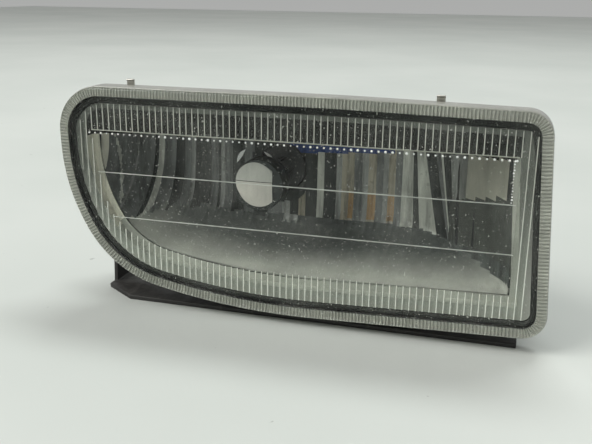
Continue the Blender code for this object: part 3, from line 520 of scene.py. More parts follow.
def worn(
    name, colour, roughness, metallic=0.0, grain=2200.0, depth=0.04 * MM, dust=0.5, scuffs=0.5, edge=None
):
    """Moulded, painted or plated stuff: uneven tone, fine grain, dust on top and pale scuffs."""
    made = Finish(name)
    cloudy = made.noise(55.0, 4.0)
    tone = made.mix(made.remap(cloudy, 0.3, 0.7), toned(colour, 0.78), toned(colour, 1.25))
    streaks = made.noise(260.0, 3.0, stretch=(1.0, 0.12, 0.3))
    scuffed = made.times(made.remap(streaks, 0.62, 0.72), scuffs)
    tone = made.mix(scuffed, tone, edge or toned(colour, 2.2))
    specks = made.remap(made.noise(420.0, 6.0, rough=0.8), 0.4, 0.85)
    settled = made.times(made.times(made.facing_up(), specks), dust)
    tone = made.mix(settled, tone, DUST)
    rough = made.remap(made.noise(180.0, 3.0), 0.3, 0.7, roughness * 0.8, min(1.0, roughness * 1.25))
    made.set(Base_Color=tone, Roughness=rough, Metallic=metallic)
    made.bump(made.noise(grain, 2.0), depth)
    return made.material


def clear_stuff(name, colour, roughness, dust, ior=1.2, scratch=0.5):
    """Clear moulding that lets lamps light what is behind it, with dust and fine scratches on it."""
    made = Finish(name)
    made.set(Base_Color=colour, Roughness=roughness, IOR=ior)
    made.set(Transmission_Weight=1.0)
    scratches = made.noise(140.0, 5.0, stretch=(1.0, 1.0, 0.08), rough=0.75)
    swirls = made.noise(420.0, 3.0, stretch=(0.2, 1.0, 1.0), rough=0.7)
    fine = made.times(scratches, made.times(swirls, scratch))
    made.bump(fine, 0.02 * MM)
    film = made.add("ShaderNodeBsdfPrincipled")
    film.inputs["Base Color"].default_value = (0.62, 0.63, 0.58, 1.0)
    film.inputs["Roughness"].default_value = 0.8
    patches = made.remap(made.noise(38.0, 5.0, rough=0.65), 0.45, 0.85, 0.0, 0.07)
    specks = made.remap(made.noise(1300.0, 1.0, rough=0.5), 0.715, 0.75, 0.0, 0.8)
    covered = made.times(made.times(patches, specks, "ADD"), dust)
    dusty = made.add("ShaderNodeMixShader")
    made.link(covered, dusty.inputs["Fac"])
    made.link(made.shader.outputs[0], dusty.inputs[1])
    made.link(film.outputs[0], dusty.inputs[2])
    through = made.add("ShaderNodeBsdfTransparent")
    through.inputs["Color"].default_value = (*colour, 1.0)
    lit = made.add("ShaderNodeMixShader")
    made.link(made.add("ShaderNodeLightPath").outputs["Is Shadow Ray"], lit.inputs["Fac"])
    made.link(dusty.outputs[0], lit.inputs[1])
    made.link(through.outputs[0], lit.inputs[2])
    made.link(lit.outputs[0], made.out.inputs["Surface"])
    return made.material


def frosted(name, colour, roughness, transmission, dirt=0.35, lit_low_tone=None):
    """Clear moulding gone dull: ribs and ridges that catch the light, and where asked a paler tone low down,
    which is painted light.
    """
    made = Finish(name)
    tone = made.mix(made.remap(made.noise(130.0, 4.0), 0.35, 0.7), toned(colour, 0.85), toned(colour, 1.1))
    grime = made.times(made.remap(made.noise(520.0, 3.0, rough=0.7), 0.55, 0.75), dirt)
    tone = made.mix(grime, tone, toned(colour, 0.35))
    # painted light: the lower parts are paler, as if lit from above
    if lit_low_tone:
        rising = made.remap(made.height(), BOTTOM + LOW_START, BOTTOM + LOW_END)
        tone = made.mix(rising, lit_low_tone, tone)
    made.set(Base_Color=tone, Roughness=roughness, IOR=1.49, Transmission_Weight=transmission)
    made.set(Coat_Weight=0.6, Coat_Roughness=0.08)
    made.bump(made.noise(900.0, 2.0), 0.03 * MM)
    return made.material


def bright(name, colour, roughness, metallic, dust=0.25, streak=0.5, bands=0.6, deep_shade=None):
    """Aluminised plastic: vertical streaks, a dull film and specks of dust, and where asked painted shade
    deeper in.
    """
    made = Finish(name)
    cloudy = made.remap(made.noise(60.0, 3.0, rough=0.5), 0.3, 0.7)
    tone = made.mix(cloudy, toned(colour, 0.82), toned(colour, 1.15))
    # painted shade: darker deeper inside the lamp
    if deep_shade:
        tone = made.mix(made.remap(made.height("Y"), FRONT + DEEP_START, FRONT + DEEP_END), tone, deep_shade)
    lines = made.remap(made.noise(420.0, 3.0, stretch=(1.0, 1.0, 0.06), rough=0.6), 0.5, 0.7)
    tone = made.mix(made.times(lines, streak), tone, toned(colour, 1.7))
    bands_seen = made.noise(270.0, 5.0, stretch=(1.0, 0.3, 0.1), rough=0.75)
    tone = made.mix(made.remap(bands_seen, 0.48, 0.62, 0.0, bands), tone, toned(colour, 0.22))
    specks = made.remap(made.noise(800.0, 3.0, rough=0.7), 0.64, 0.74)
    tone = made.mix(made.times(specks, dust), tone, DUST)
    rough = made.remap(made.noise(150.0, 4.0), 0.3, 0.7, roughness * 0.7, min(1.0, roughness * 1.5))
    made.set(Base_Color=tone, Roughness=rough, Metallic=metallic)
    made.bump(made.noise(240.0, 3.0, stretch=(1.0, 1.0, 0.3)), 0.12 * MM)
    return made.material


GLASS = clear_stuff("lens_glass", (0.97, 0.985, 0.97), roughness=0.012, dust=1.0)
FLUTE_GLASS = clear_stuff(
    "flute_glass", (0.96, 0.98, 0.96), roughness=0.02, dust=0.2, ior=1.22, scratch=0.05
)
RIM = frosted("rim_ribs", (0.50, 0.505, 0.45), roughness=0.25, transmission=0.35)
# the flange is black, with a paler low part that is painted light
FLANGE = frosted(
    "reflector_flange", (0.10, 0.102, 0.09), roughness=0.5, transmission=0.0, lit_low_tone=(0.32, 0.325, 0.295)
)
# the flute ridges and the window step are opaque and pale, painted highlights on clear cusps, and paler
# still low down, painted light
RIDGE = frosted(
    "flute_ridges", (0.50, 0.50, 0.45), roughness=0.3, transmission=0.0, dirt=0.2, lit_low_tone=(0.85, 0.86, 0.8)
)
LINE = frosted("fine_lines", (0.8, 0.82, 0.78), roughness=0.25, transmission=0.1, dirt=0.1)
# pure white, for painted glints and painted highlights
GLINT = frosted("glints", (1.0, 1.0, 1.0), roughness=0.15, transmission=0.0, dirt=0.0)
SEAL = worn("seal_rubber", (0.010, 0.012, 0.010), 0.8, grain=3000.0, dust=0.15, scuffs=0.06)
HOUSING = worn("housing_moulding", (0.022, 0.023, 0.024), 0.5, grain=2600.0, depth=0.05 * MM, dust=0.16)
PAINT = worn(
    "bracket_coat", (0.016, 0.015, 0.014), 0.5, grain=1500.0, dust=0.12, scuffs=0.35, edge=(0.11, 0.1, 0.09)
)
ZINC = worn(
    "zinc_plate", (0.55, 0.54, 0.5), 0.36, metallic=1.0, grain=1800.0, dust=0.25, edge=(0.3, 0.22, 0.13)
)
NYLON = worn("nylon", (0.66, 0.65, 0.58), 0.5, dust=0.3, scuffs=0.3, edge=(0.4, 0.38, 0.32))
BRASS = worn("brass", (0.7, 0.5, 0.22), 0.32, metallic=1.0, dust=0.15)
TUNGSTEN = worn("tungsten", (0.35, 0.34, 0.33), 0.4, metallic=1.0, dust=0.0)
BULB_GLASS = clear_stuff("bulb_glass", (0.97, 0.97, 0.97), roughness=0.01, dust=0.1)
PLUG_BLACK = worn("bulb_moulding", (0.017, 0.017, 0.018), 0.38, grain=2000.0, depth=0.03 * MM, dust=0.12)
# the shield's face is paler below its seam, painted light, and its rim and leg are near-black, painted shade
SHIELD = bright("shield_face", (0.42, 0.42, 0.39), 0.42, 0.2, dust=0.4, streak=0.1, bands=0.1)
SHIELD_LIT_LOW = bright("shield_face_lit_low", (0.52, 0.5, 0.46), 0.42, 0.2, dust=0.4, streak=0.1, bands=0.1)
SHIELD_SHADED = bright("shield_shaded", (0.03, 0.034, 0.034), 0.45, 0.3, dust=0.15, streak=0.2)

# the reflector's facet tones are painted: mostly painted reflections of the room on the aluminised facets,
# with painted shade and painted light where marked below
STRIPS = {
    "slate": bright("facet_slate", (0.165, 0.173, 0.17), 0.4, 0.25),
    "dark": bright("facet_dark", (0.036, 0.04, 0.038), 0.45, 0.2, streak=0.6),
    "grey": bright("facet_grey", (0.27, 0.278, 0.265), 0.32, 0.25),
    "pale": bright("facet_pale", (0.52, 0.53, 0.48), 0.35, 0.2, bands=0.5),
    "beige": bright("facet_beige", (0.34, 0.31, 0.24), 0.35, 0.2, bands=0.65),
    "amber": bright("facet_amber", (0.36, 0.23, 0.11), 0.35, 0.2, bands=0.5),
    "plain": bright("facet_plain", (0.42, 0.41, 0.345), 0.45, 0.1, dust=0.4, streak=0.1, bands=0.15),
    "floor": bright(
        "facet_floor", (0.37, 0.38, 0.34), 0.6, 0.0, streak=0.1, bands=0.1, deep_shade=(0.095, 0.105, 0.1)
    ),
    "teal": bright("facet_teal", (0.095, 0.105, 0.1), 0.45, 0.2, dust=0.4, streak=0.3),
    "shade": bright("facet_shade", (0.075, 0.08, 0.072), 0.5, 0.1, dust=0.5, streak=0.2, bands=0.2),
    "roof": bright("facet_roof", (0.007, 0.007, 0.005), 0.7, 0.0, dust=0.02, streak=0.0),
    "wedge": bright("facet_wedge", (0.74, 0.72, 0.62), 0.5, 0.0, dust=0.5, streak=0.1, bands=0.45),
    "blue": bright("facet_blue", (0.014, 0.04, 0.17), 0.3, 0.2, dust=0.2, streak=0.3, bands=0.4),
}


# ================================================================ camera, floor and lights


CAMERA_PLACE = (0.08808, -0.34197, 0.13870)
CAMERA_AHEAD = (-0.26507, 0.92032, -0.28766)
CAMERA_YAW, CAMERA_ROLL = 16.07, 0.65  # degrees
CAMERA_LENS = 47.68  # millimetres, as its sensor is


def add_camera():
    data = bpy.data.cameras.new("camera")
    data.lens = CAMERA_LENS
    data.sensor_width = 36.0
    data.clip_start = 0.01
    camera = bpy.data.objects.new("camera", data)
    bpy.context.scene.collection.objects.link(camera)
    yaw, roll = math.radians(CAMERA_YAW), math.radians(CAMERA_ROLL)
    ahead = Vector(CAMERA_AHEAD).normalized()
    right = Vector((math.cos(yaw), math.sin(yaw), 0.0))
    up = right.cross(ahead)
    level_right = right * math.cos(roll) + up * math.sin(roll)
    level_up = up * math.cos(roll) - right * math.sin(roll)
    turn = Matrix((level_right, level_up, -ahead)).transposed().to_4x4()
    camera.matrix_world = Matrix.Translation(CAMERA_PLACE) @ turn
    bpy.context.scene.camera = camera


def add_floor():
    nothing_selected()
    bpy.ops.mesh.primitive_grid_add(x_subdivisions=8, y_subdivisions=8, size=6.0, location=(0, 1.2, 0))
    floor = bpy.context.object
    floor.name = "floor"
    made = Finish("table_top")
    cloudy = made.remap(made.noise(3.0, 4.0), 0.35, 0.65)
    tone = made.mix(cloudy, (0.58, 0.61, 0.58), (0.64, 0.665, 0.635))
    specks = made.remap(made.noise(160.0, 2.0), 0.74, 0.77)
    tone = made.mix(specks, tone, (0.4, 0.41, 0.39))
    made.set(Base_Color=tone, Roughness=0.55)
    floor.data.materials.append(made.material)


def add_lamp(name, place, aim, size, power, colour=(1, 1, 1), height=None):
    data = bpy.data.lights.new(name, "AREA")
    data.shape = "RECTANGLE"
    data.size = size
    data.size_y = height or size
    data.energy = power
    data.color = colour
    lamp = bpy.data.objects.new(name, data)
    bpy.context.scene.collection.objects.link(lamp)
    away = Vector(place) - Vector(aim)
    lamp.matrix_world = Matrix.Translation(place) @ away.to_track_quat("Z", "Y").to_matrix().to_4x4()


def add_lights():
    add_lamp("soft_key", (-1.7, -1.3, 2.3), (0, 0, 0.04), 1.6, 56.0, (1.0, 0.99, 0.96))
    add_lamp("soft_top", (0.2, 0.9, 2.2), (0, 0, 0.05), 1.4, 26.0, (0.96, 1.0, 0.98), height=0.5)
    world = bpy.data.worlds.new("room")
    world.use_nodes = True
    bpy.context.scene.world = world
    background = world.node_tree.nodes["Background"]
    background.inputs["Color"].default_value = (0.82, 0.83, 0.815, 1.0)
    background.inputs["Strength"].default_value = 0.5
    bpy.context.scene.view_settings.view_transform = "Standard"


# ================================================================ lens


def build_glass():
    loops = []
    for step in range(5):
        depth = RIM_SKIN * (step / 4) ** 1.6
        slope = math.acos(1 - depth / EDGE_ROUND)
        loops.append(outline(EDGE_ROUND * (1 - math.sin(slope)) + SAFE, depth))
    loops.append(outline(RIM_INSET + SAFE, RIM_SKIN))
    loops.append(outline(RIM_INSET + SAFE, PANE_THICK))
    piece = loft("lens_glass", loops)
    finished(piece, "lamp", "lens_clear", GLASS, replaces=["lens"], angle=50)


def build_rim():
    """The lens's thick edge: a ribbed band behind the clear skin, and the skirt behind that."""
    per_rib = 4
    ribs = round(sum((b - a).length for a, b in zip(RAW, RAW[1:])) / RIB_PITCH)
    points = even_outline(ribs * per_rib)
    front = RIM_SKIN + 0.05 * MM
    # inset, depth, how much of the rib's depth goes backwards there
    section = [
        (RIM_INSET, front, 1.0),
        (RIB_INSET, front, 1.0),
        (0.7 * MM, front, 0.1),
        (0.3 * MM, front + 0.25 * MM, 0.0),
        (SAFE, front + 1.0 * MM, 0.0),
        (SAFE, RIM_DEPTH - 0.4 * MM, 0.0),
        (0.5 * MM, RIM_DEPTH, 0.0),
        (RIM_WALL, RIM_DEPTH, 0.0),
        (RIM_WALL, PANE_THICK, 0.0),
        (RIM_INSET, PANE_THICK, 0.0),
    ]
    loops = []
    for inset, depth, backwards in section:
        loop = []
        for i, (point, inward) in enumerate(points):
            low = RIB_DEPTH if i % per_rib >= per_rib // 2 else 0.0
            at = point + inward * inset
            loop.append(Vector((at.x, FRONT + depth + low * backwards, at.y)))
        loops.append(loop)
    piece = loft("lens_rim", loops, closed=True)
    finished(piece, "lamp", "lens_clear", RIM, replaces=["lens"], angle=25)


def window_low(x):
    """Height of the window's lower edge at x, or None to the left of it."""
    for (x0, z0), (x1, z1) in zip(WINDOW_EDGE, WINDOW_EDGE[1:]):
        if x0 <= x <= x1:
            return BOTTOM + z0 + (z1 - z0) * (x - x0) / (x1 - x0)
    return None


def flute_spans():
    """(x, low z, high z) of every flute in the band round the window."""
    inner = outline(BAND_INSET, 0.0)
    spans = []
    xs = [p.x for p in inner]
    count = int((max(xs) - min(xs)) / FLUTE_PITCH)
    first = min(xs) + FLUTE_PITCH * 0.5
    for i in range(count):
        x = first + i * FLUTE_PITCH
        both = heights_at(inner, x)
        if not both or both[1] - both[0] < 3 * FLUTE_PITCH or x > RIGHT - LAST_FLUTE:
            continue
        low, high = both[0] + LOW_STRIP, both[1] - TOP_STRIP
        edge = window_low(x) if x < WINDOW_RIGHT else None
        if edge is None:
            spans.append((x, low, high))
            continue
        spans.append((x, low, edge))
        spans.append((x, WINDOW_TOP, high))
    return spans


def build_flutes():
    """Upright half-round flutes on the pane's back, with a narrow ridge between each two."""
    back = FRONT + PANE_THICK
    spans = flute_spans()
    half = (FLUTE_PITCH - RIDGE_WIDTH) / 2
    steps = 6
    section = [Vector((-half, -0.05 * MM, 0)), Vector((half, -0.05 * MM, 0))]
    for step in range(steps + 1):
        angle = math.pi * step / steps
        section.append(Vector((half * math.cos(angle), FLUTE_DEPTH * math.sin(angle) + 0.02 * MM, 0)))
    template = loft("flute", [section, [p + Vector((0, 0, 1)) for p in section]])
    places = [((x, back, low), (1, 1, high - low)) for x, low, high in spans]
    flutes = joined("lens_flutes", copies(template, places))
    finished(flutes, "lamp", "lens_clear", FLUTE_GLASS, angle=50)
    # the ridges are opaque pale bars, painted highlights on the clear cusps
    ridge = bar("ridge", (-RIDGE_WIDTH / 2, 0, 0), (RIDGE_WIDTH / 2, RIDGE_DEPTH, 1))
    offset = FLUTE_PITCH / 2
    places = [((x + offset, back + 0.01 * MM, low), (1, 1, high - low)) for x, low, high in spans]
    ridges = joined("lens_flute_ridges", copies(ridge, places))
    finished(ridges, "lamp", "lens_clear", RIDGE)
    return spans


def build_window_edge(spans):
    """The step along the window's top, pale as a painted highlight, with a bead under each flute, white as a
    painted glint, and the fine lines.
    """
    back = FRONT + PANE_THICK
    half = 0.22 * MM
    bead_back = back + 0.1 * MM
    step = bar(
        "window_step",
        (-90.0 * MM, back, WINDOW_TOP - half),
        (WINDOW_RIGHT, back + 0.6 * MM, WINDOW_TOP + half),
        0.1 * MM,
    )
    finished(step, "lamp", "lens_clear", RIDGE)
    nothing_selected()
    bpy.ops.mesh.primitive_ico_sphere_add(subdivisions=2, radius=0.5 * MM, location=(0, 0, 0))
    bead = bpy.context.object
    places = []
    for x, low, _ in spans:
        if low == WINDOW_TOP:
            size = random.uniform(0.7, 1.2)
            places.append(((x, bead_back, WINDOW_TOP - 1.3 * MM), (size, 0.8, size)))
    for i in range(RIGHT_BEADS):
        size = random.uniform(0.4, 0.9)
        drift = random.uniform(-0.15, 0.15) * MM
        place = (WINDOW_RIGHT - 1.6 * MM + drift, bead_back, WINDOW_TOP - (1.4 + 1.15 * i) * MM)
        places.append((place, (size, 0.8, size)))
    beads = joined("window_beads", copies(bead, places))
    finished(beads, "lamp", "lens_clear", GLINT)
    lines = []
    for up, start, end in FINE_LINES:
        z = BOTTOM + up
        low, high = (start, back, z - 0.2 * MM), (end, back + 0.35 * MM, z + 0.2 * MM)
        lines.append(bar("line", low, high, 0.08 * MM))
    finished(joined("lens_fine_lines", lines), "lamp", "lens_clear", LINE)


def eased_outline(low_inset, top_inset, depth):
    """The outline at one inset round the bottom and sides, easing to another along the top."""
    points = []
    for low, top in zip(outline(low_inset, depth), outline(top_inset, depth)):
        share = min(max((low.z - WINDOW_TOP) / (9 * MM), 0.0), 1.0)
        points.append(low.lerp(top, share * share * (3 - 2 * share)))
    return points


def build_flange():
    """The reflector's stepped front flange: a strip inside the seal, a wall, and the bowl's brim."""
    front, brim, wall = 5.0 * MM, 10.2 * MM, 0.4 * MM
    # insets at the bottom and sides, and along the top
    edge, step, mouth = (6.8 * MM, 7.7 * MM), (11.8 * MM, 9.8 * MM), (14.6 * MM, 14.6 * MM)
    step_back = (step[0] - wall, step[1] - wall)
    section = [
        (*edge, front),
        (*step, front),
        (*step, brim),
        (*mouth, brim),
        (*mouth, brim + wall),
        (*step_back, brim + wall),
        (*step_back, front + wall),
        (*edge, front + wall),
    ]
    piece = loft("reflector_flange", [eased_outline(*place) for place in section], closed=True)
    for material in (FLANGE, STRIPS["floor"], STRIPS["roof"], STRIPS["wedge"]):
        piece.data.materials.append(material)
    floor, roof, wedge = 1, 2, 3
    # painted tones on the brim behind the step: near-black along the top as painted shade, a pale painted
    # reflection on the left wall, and elsewhere a pale floor that is partly dust and partly painted light,
    # with painted shade deeper in
    for face in piece.data.polygons:
        middle = face.center
        if middle.y <= FRONT + front + wall:
            continue
        if middle.z > WINDOW_TOP - 4 * MM:
            face.material_index = roof
        elif middle.x < -80 * MM and middle.z > BOTTOM + 30 * MM:
            face.material_index = wedge
        else:
            face.material_index = floor
    finished(piece, "lamp", "reflector_bright")


def build_seal():
    low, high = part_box("lens_seal")
    front = low.y - FRONT
    back = high.y - FRONT
    outer, inner, top_inner, soft = 4.6 * MM, 6.4 * MM, 7.4 * MM, 0.5 * MM
    section = [
        (outer + soft, outer + soft, front),
        (inner - soft, top_inner - soft, front),
        (inner, top_inner, front + soft),
        (inner, top_inner, back),
        (outer, outer, back),
        (outer, outer, front + soft),
    ]
    loops = [eased_outline(low, top, depth) for low, top, depth in section]
    piece = loft("seal_bead", loops, closed=True)
    finished(piece, "lamp", "seal_black", SEAL, replaces=["lens_seal"], angle=40)


# ================================================================ inside of the lamp

DISH_INSET = 14.0 * MM
DISH_FRONT = 11.3 * MM
DISH_DEPTH = 43.7 * MM
DISH_HOLE = 11.5 * MM
DISH_FULLNESS = 4.5
dish_edge = outline(DISH_INSET, 0.0)


def dish_reach(angle):
    """Distance from the bulb's axis to the dish's edge in a direction."""
    way = Vector((math.cos(angle), math.sin(angle)))
    best = None
    for a, b in zip(dish_edge, dish_edge[1:] + dish_edge[:1]):
        start = Vector((a.x - BULB_X, a.z - BULB_Z))
        along = Vector((b.x - a.x, b.z - a.z))
        base = way.cross(along)
        if abs(base) < 1e-12:
            continue
        distance = start.cross(along) / base
        share = start.cross(way) / base
        if distance > 0 and -1e-9 <= share <= 1 + 1e-9:
            best = distance if best is None else max(best, distance)
    return best


def dish_depth(x, z):
    """Depth of the dish behind the lens's front at (x, z)."""
    away = Vector((x - BULB_X, z - BULB_Z))
    reach = dish_reach(math.atan2(away.y, away.x))
    share = 1 - (away.length - DISH_HOLE) / (reach - DISH_HOLE)
    share = min(max(share, 0.0), 1.0)
    return DISH_FRONT + DISH_DEPTH * (1 - (1 - share) ** DISH_FULLNESS)


# where each upright facet ends (x, in millimetres) and its painted tone, mostly a painted reflection, from
# left to right
FACETS = [
    (-88.6, "wedge"), (-87.2, "slate"), (-86.0, "slate"), (-84.8, "slate"), (-83.6, "slate"),
    (-82.4, "slate"), (-81.8, "grey"), (-77.2, "slate"), (-76.0, "dark"), (-74.2, "pale"),
    (-70.0, "slate"), (-66.5, "dark"), (-63.6, "slate"), (-61.8, "grey"), (-54.5, "dark"),
    (-51.0, "slate"), (-49.8, "dark"), (-47.8, "grey"), (-44.0, "slate"), (-38.0, "dark"),
    (-33.0, "slate"), (-26.0, "dark"), (-19.0, "slate"), (-15.2, "grey"), (-11.0, "dark"),
    (-7.6, "beige"), (-2.1, "dark"), (1.2, "pale"), (7.0, "dark"), (9.6, "grey"),
    (13.0, "beige"), (15.4, "amber"), (19.2, "slate"), (22.0, "grey"), (25.8, "amber"),
    (29.0, "slate"), (31.4, "grey"), (34.6, "amber"), (37.8, "slate"), (42.9, "pale"),
    (45.0, "dark"), (50.4, "pale"), (55.2, "dark"), (57.0, "slate"), (57.8, "pale"),
    (60.6, "dark"), (67.2, "grey"), (84.8, "plain"), (88.5, "dark"),
]
FACETS_START = -89.9
FACET_ROWS = 72
FACET_SPLIT = 0.02 * MM  # keeps two neighbours' edges apart, so that each has its own finish
FACET_HOLLOW, MOST_HOLLOW = 0.12, 0.8 * MM  # how deep a facet curves in, by its width
FACET_STAND = 0.8 * MM  # in front of the frame's bowl
FACET_THICK = 0.6 * MM
LEAN, LEAN_X, LEAN_REACH = 0.25, 53 * MM, 12 * MM  # the strips that lean, right of the bulb
# a thin pale line on the left facets, a painted highlight
EDGE_GLINT = [(-87.4, 74.0), (-85.4, 58.0), (-84.1, 50.8), (-82.5, 44.0)]
# the patches of painted tone that cross the facets, in millimetres
ROOF_EDGE, ROOF_FALL = 77.6, 0.17  # painted shade under the roof, whose edge falls with depth
# the floor: paler where faces turn up, partly dust and partly painted light
FLOOR_TOP, FLOOR_SLOPE, FLOOR_ALWAYS = 50, 0.6, 24
TEAL_TOP_LEFT, TEAL_TOP_RIGHT, TEAL_SPLIT = 34, 31, 35
GREY_LEFT, GREY_RIGHT, GREY_LOW = -18, -11.2, 29
BLUE_LEFT, BLUE_RIGHT, BLUE_LOW, BLUE_RISE = -22, 34, 62.6, 0.065
BULB_SHADE = 16  # painted shade round the bulb's axis
# painted shade low on the right
SHADE_LEFT, SHADE_TOP, SHADE_RISE = 60.6, 50, 0.41
AMBER_LOW, AMBER_HIGH = 35, 47


def near_line(point, start, end, reach):
    """Whether a point lies within reach of a line, which is thickest at its middle."""
    start, end = Vector(start), Vector(end)
    along = end - start
    share = min(max((point - start).dot(along) / along.length_squared, 0.0), 1.0)
    return (point - start - along * share).length < reach * (1.2 - abs(2 * share - 1))


def painted_tone_at(middle, slope, painted_tone):
    """The painted tone of one patch of the reflector's inside: mostly a painted reflection, with painted
    shade and painted light in places.
    """
    x, depth, z = middle.x / MM, (middle.y - FRONT) / MM, middle.z / MM
    from_bulb = math.hypot(x - BULB_X / MM, z - BULB_Z / MM)
    if z > ROOF_EDGE - ROOF_FALL * depth:
        return "roof"
    if any(near_line(Vector((x, z)), *ends, 0.35) for ends in zip(EDGE_GLINT, EDGE_GLINT[1:])):
        return "pale"
    if z < FLOOR_TOP and slope > FLOOR_SLOPE or z < FLOOR_ALWAYS:
        return "floor"
    if z < (TEAL_TOP_RIGHT if x > TEAL_SPLIT else TEAL_TOP_LEFT):
        return "grey" if GREY_LEFT < x < GREY_RIGHT and z > GREY_LOW else "teal"
    if BLUE_LEFT < x < BLUE_RIGHT and z > BLUE_LOW + BLUE_RISE * (x + 25):
        return "blue"
    if from_bulb < BULB_SHADE:
        return "dark"
    if x > SHADE_LEFT and z < SHADE_TOP + SHADE_RISE * (x - 63):
        return "shade"
    if painted_tone == "amber" and not AMBER_LOW < z < AMBER_HIGH:
        return "beige"
    return painted_tone


def facet_columns():
    """(x, how far it curves in, painted tone) of every upright line of points across the facets."""
    columns = []
    before = FACETS_START
    for end, painted_tone in FACETS:
        width = (end - before) * MM
        for share in (0.0, 0.25, 0.5, 0.75, 1.0):
            hollow = min(FACET_HOLLOW * width, MOST_HOLLOW) * math.sin(math.pi * share)
            split = FACET_SPLIT if share == 0 else 0
            columns.append((before * MM + width * share + split, hollow, painted_tone))
        before = end
    return columns


def cut_bulb_hole(piece):
    """Deletes the faces in front of the bulb's hole and rounds the edge that is left."""
    mesh = piece.data
    edit(piece, "FACE")
    bpy.ops.mesh.select_all(action="DESELECT")
    bpy.ops.object.mode_set(mode="OBJECT")
    axis = Vector((BULB_X, BULB_Z))
    ring = set()
    for face in mesh.polygons:
        face.select = (face.center.xz - axis).length < DISH_HOLE
        if face.select:
            ring.update(face.vertices)
    for i in ring:
        away = mesh.vertices[i].co.xz - axis
        if away.length > 0.75 * DISH_HOLE:
            away *= max(DISH_HOLE / away.length, 1.0)
        mesh.vertices[i].co.x, mesh.vertices[i].co.z = axis + away
    edit(piece, "FACE")
    bpy.ops.mesh.delete(type="FACE")


def build_facets():
    """The reflector's bright inside: upright facets that run from its floor up to its roof, whose tones are
    painted reflections, painted shade and painted light.
    """
    inner = outline(DISH_INSET + 0.4 * MM, 0.0)
    columns = facet_columns()
    nothing_selected()
    bpy.ops.mesh.primitive_grid_add(x_subdivisions=len(columns) - 1, y_subdivisions=FACET_ROWS, size=1.0)
    piece = bpy.context.object
    piece.name = "reflector_facets"
    mesh = piece.data
    across = len(columns)
    for i, vertex in enumerate(mesh.vertices):
        x, hollow, _ = columns[i % across]
        both = heights_at(inner, x)
        share = (i // across) / FACET_ROWS
        z = both[0] + (both[1] - both[0]) * share
        fade = min(1.0, 6 * share, 6 * (1 - share))
        lean = LEAN * max(0.0, 1 - abs(x - LEAN_X) / LEAN_REACH) * (BULB_Z - z) * fade
        x += lean
        vertex.co = (x, FRONT + dish_depth(x, z) - FACET_STAND + hollow * fade, z)
    names = list(STRIPS)
    for name in names:
        mesh.materials.append(STRIPS[name])
    for face in mesh.polygons:
        painted_tone = columns[face.vertices[0] % across][2]
        # how far a face turns up, which decides the floor's painted light
        slope = face.normal.z * (1 if face.normal.y < 0 else -1)
        face.material_index = names.index(painted_tone_at(face.center, slope, painted_tone))
    cut_bulb_hole(piece)
    bpy.ops.mesh.select_all(action="SELECT")
    bpy.ops.mesh.normals_make_consistent(inside=False)
    bpy.ops.object.mode_set(mode="OBJECT")
    if sum(face.normal.y * face.area for face in mesh.polygons) > 0:
        mesh.flip_normals()
    apply(piece, "SOLIDIFY", thickness=FACET_THICK, offset=-1.0)
    finished(piece, "lamp", "reflector_bright", replaces=["reflector"], angle=30)


def build_shield():
    """The pale disc in front of the bulb: a drawn cup with a rolled lip and a folded leg."""
    radius = (shield_high.x - shield_low.x) / 2
    front = shield_low.y
    wall = 0.9 * MM
    cup = 9.0 * MM
    crown = 1.6 * MM
    edge = front + crown
    profile = [
        (0.3 * MM, front),
        (radius * 0.35, front + 0.1 * MM),
        (radius * 0.62, front + 0.3 * MM),
        (radius * 0.78, front + 0.5 * MM),
        (radius * 0.83, front + 1.0 * MM),
        (radius * 0.93, front + 1.1 * MM),
        (radius * 0.98, front + 1.3 * MM),
        (radius, edge + 0.5 * MM),
        (radius, edge + cup - 0.4 * MM),
        (radius - 0.15 * MM, edge + cup),
        (radius - wall, edge + cup),
        (radius - wall, edge + 0.6 * MM),
        (0.3 * MM, front + wall),
    ]
    piece = turned("shield_cup", profile, (BULB_X, 0, BULB_Z), sides=72)
    # the raised face sits high and to the left in its rim, which is painted dark as shade
    shift = Vector((-1.2 * MM, 0.0, 1.5 * MM))
    for vertex in piece.data.vertices:
        away = Vector((vertex.co.x - BULB_X, 0.0, vertex.co.z - BULB_Z))
        if vertex.co.y < front + 0.9 * MM and away.length < radius * 0.8:
            vertex.co += shift * min(1.0, away.length / (radius * 0.3))
    flat_right, seam = BULB_X + 6.6 * MM, BULB_Z + 2.0 * MM
    line = 0.3 * MM
    cuts = [((flat_right, 0, 0), (1, 0, 0)), ((0, 0, seam), (0, 0, 1)), ((0, 0, seam - line), (0, 0, 1))]
    for place, normal in cuts:
        edit(piece)
        bpy.ops.mesh.select_all(action="SELECT")
        bpy.ops.mesh.bisect(plane_co=place, plane_no=normal)
        bpy.ops.object.mode_set(mode="OBJECT")
    for material in (SHIELD, SHIELD_LIT_LOW, SHIELD_SHADED):
        piece.data.materials.append(material)
    lit_low_face, dark = 1, 2
    # faces off the raised front are near-black, painted shade; the raised face below the seam is paler,
    # painted light; the thin line at the seam is dark
    for face in piece.data.polygons:
        middle = face.center
        raised = middle.y < front + 0.95 * MM and middle.x < flat_right
        if not raised or seam - line < middle.z < seam:
            face.material_index = dark
        elif middle.z < seam:
            face.material_index = lit_low_face
    half, low = 2.0 * MM, BULB_Z - radius
    leg_low, leg_high = (BULB_X - half, edge + wall, low), (BULB_X + half, shield_high.y, low + wall)
    leg = bar("leg", leg_low, leg_high, 0.2 * MM)
    # the leg is near-black too, painted shade
    leg.data.materials.append(SHIELD_SHADED)
    piece = joined("shield_cup", [piece, leg])
    finished(piece, "lamp", "shield_grey", SHIELD, replaces=["bulb_shield"], angle=30)


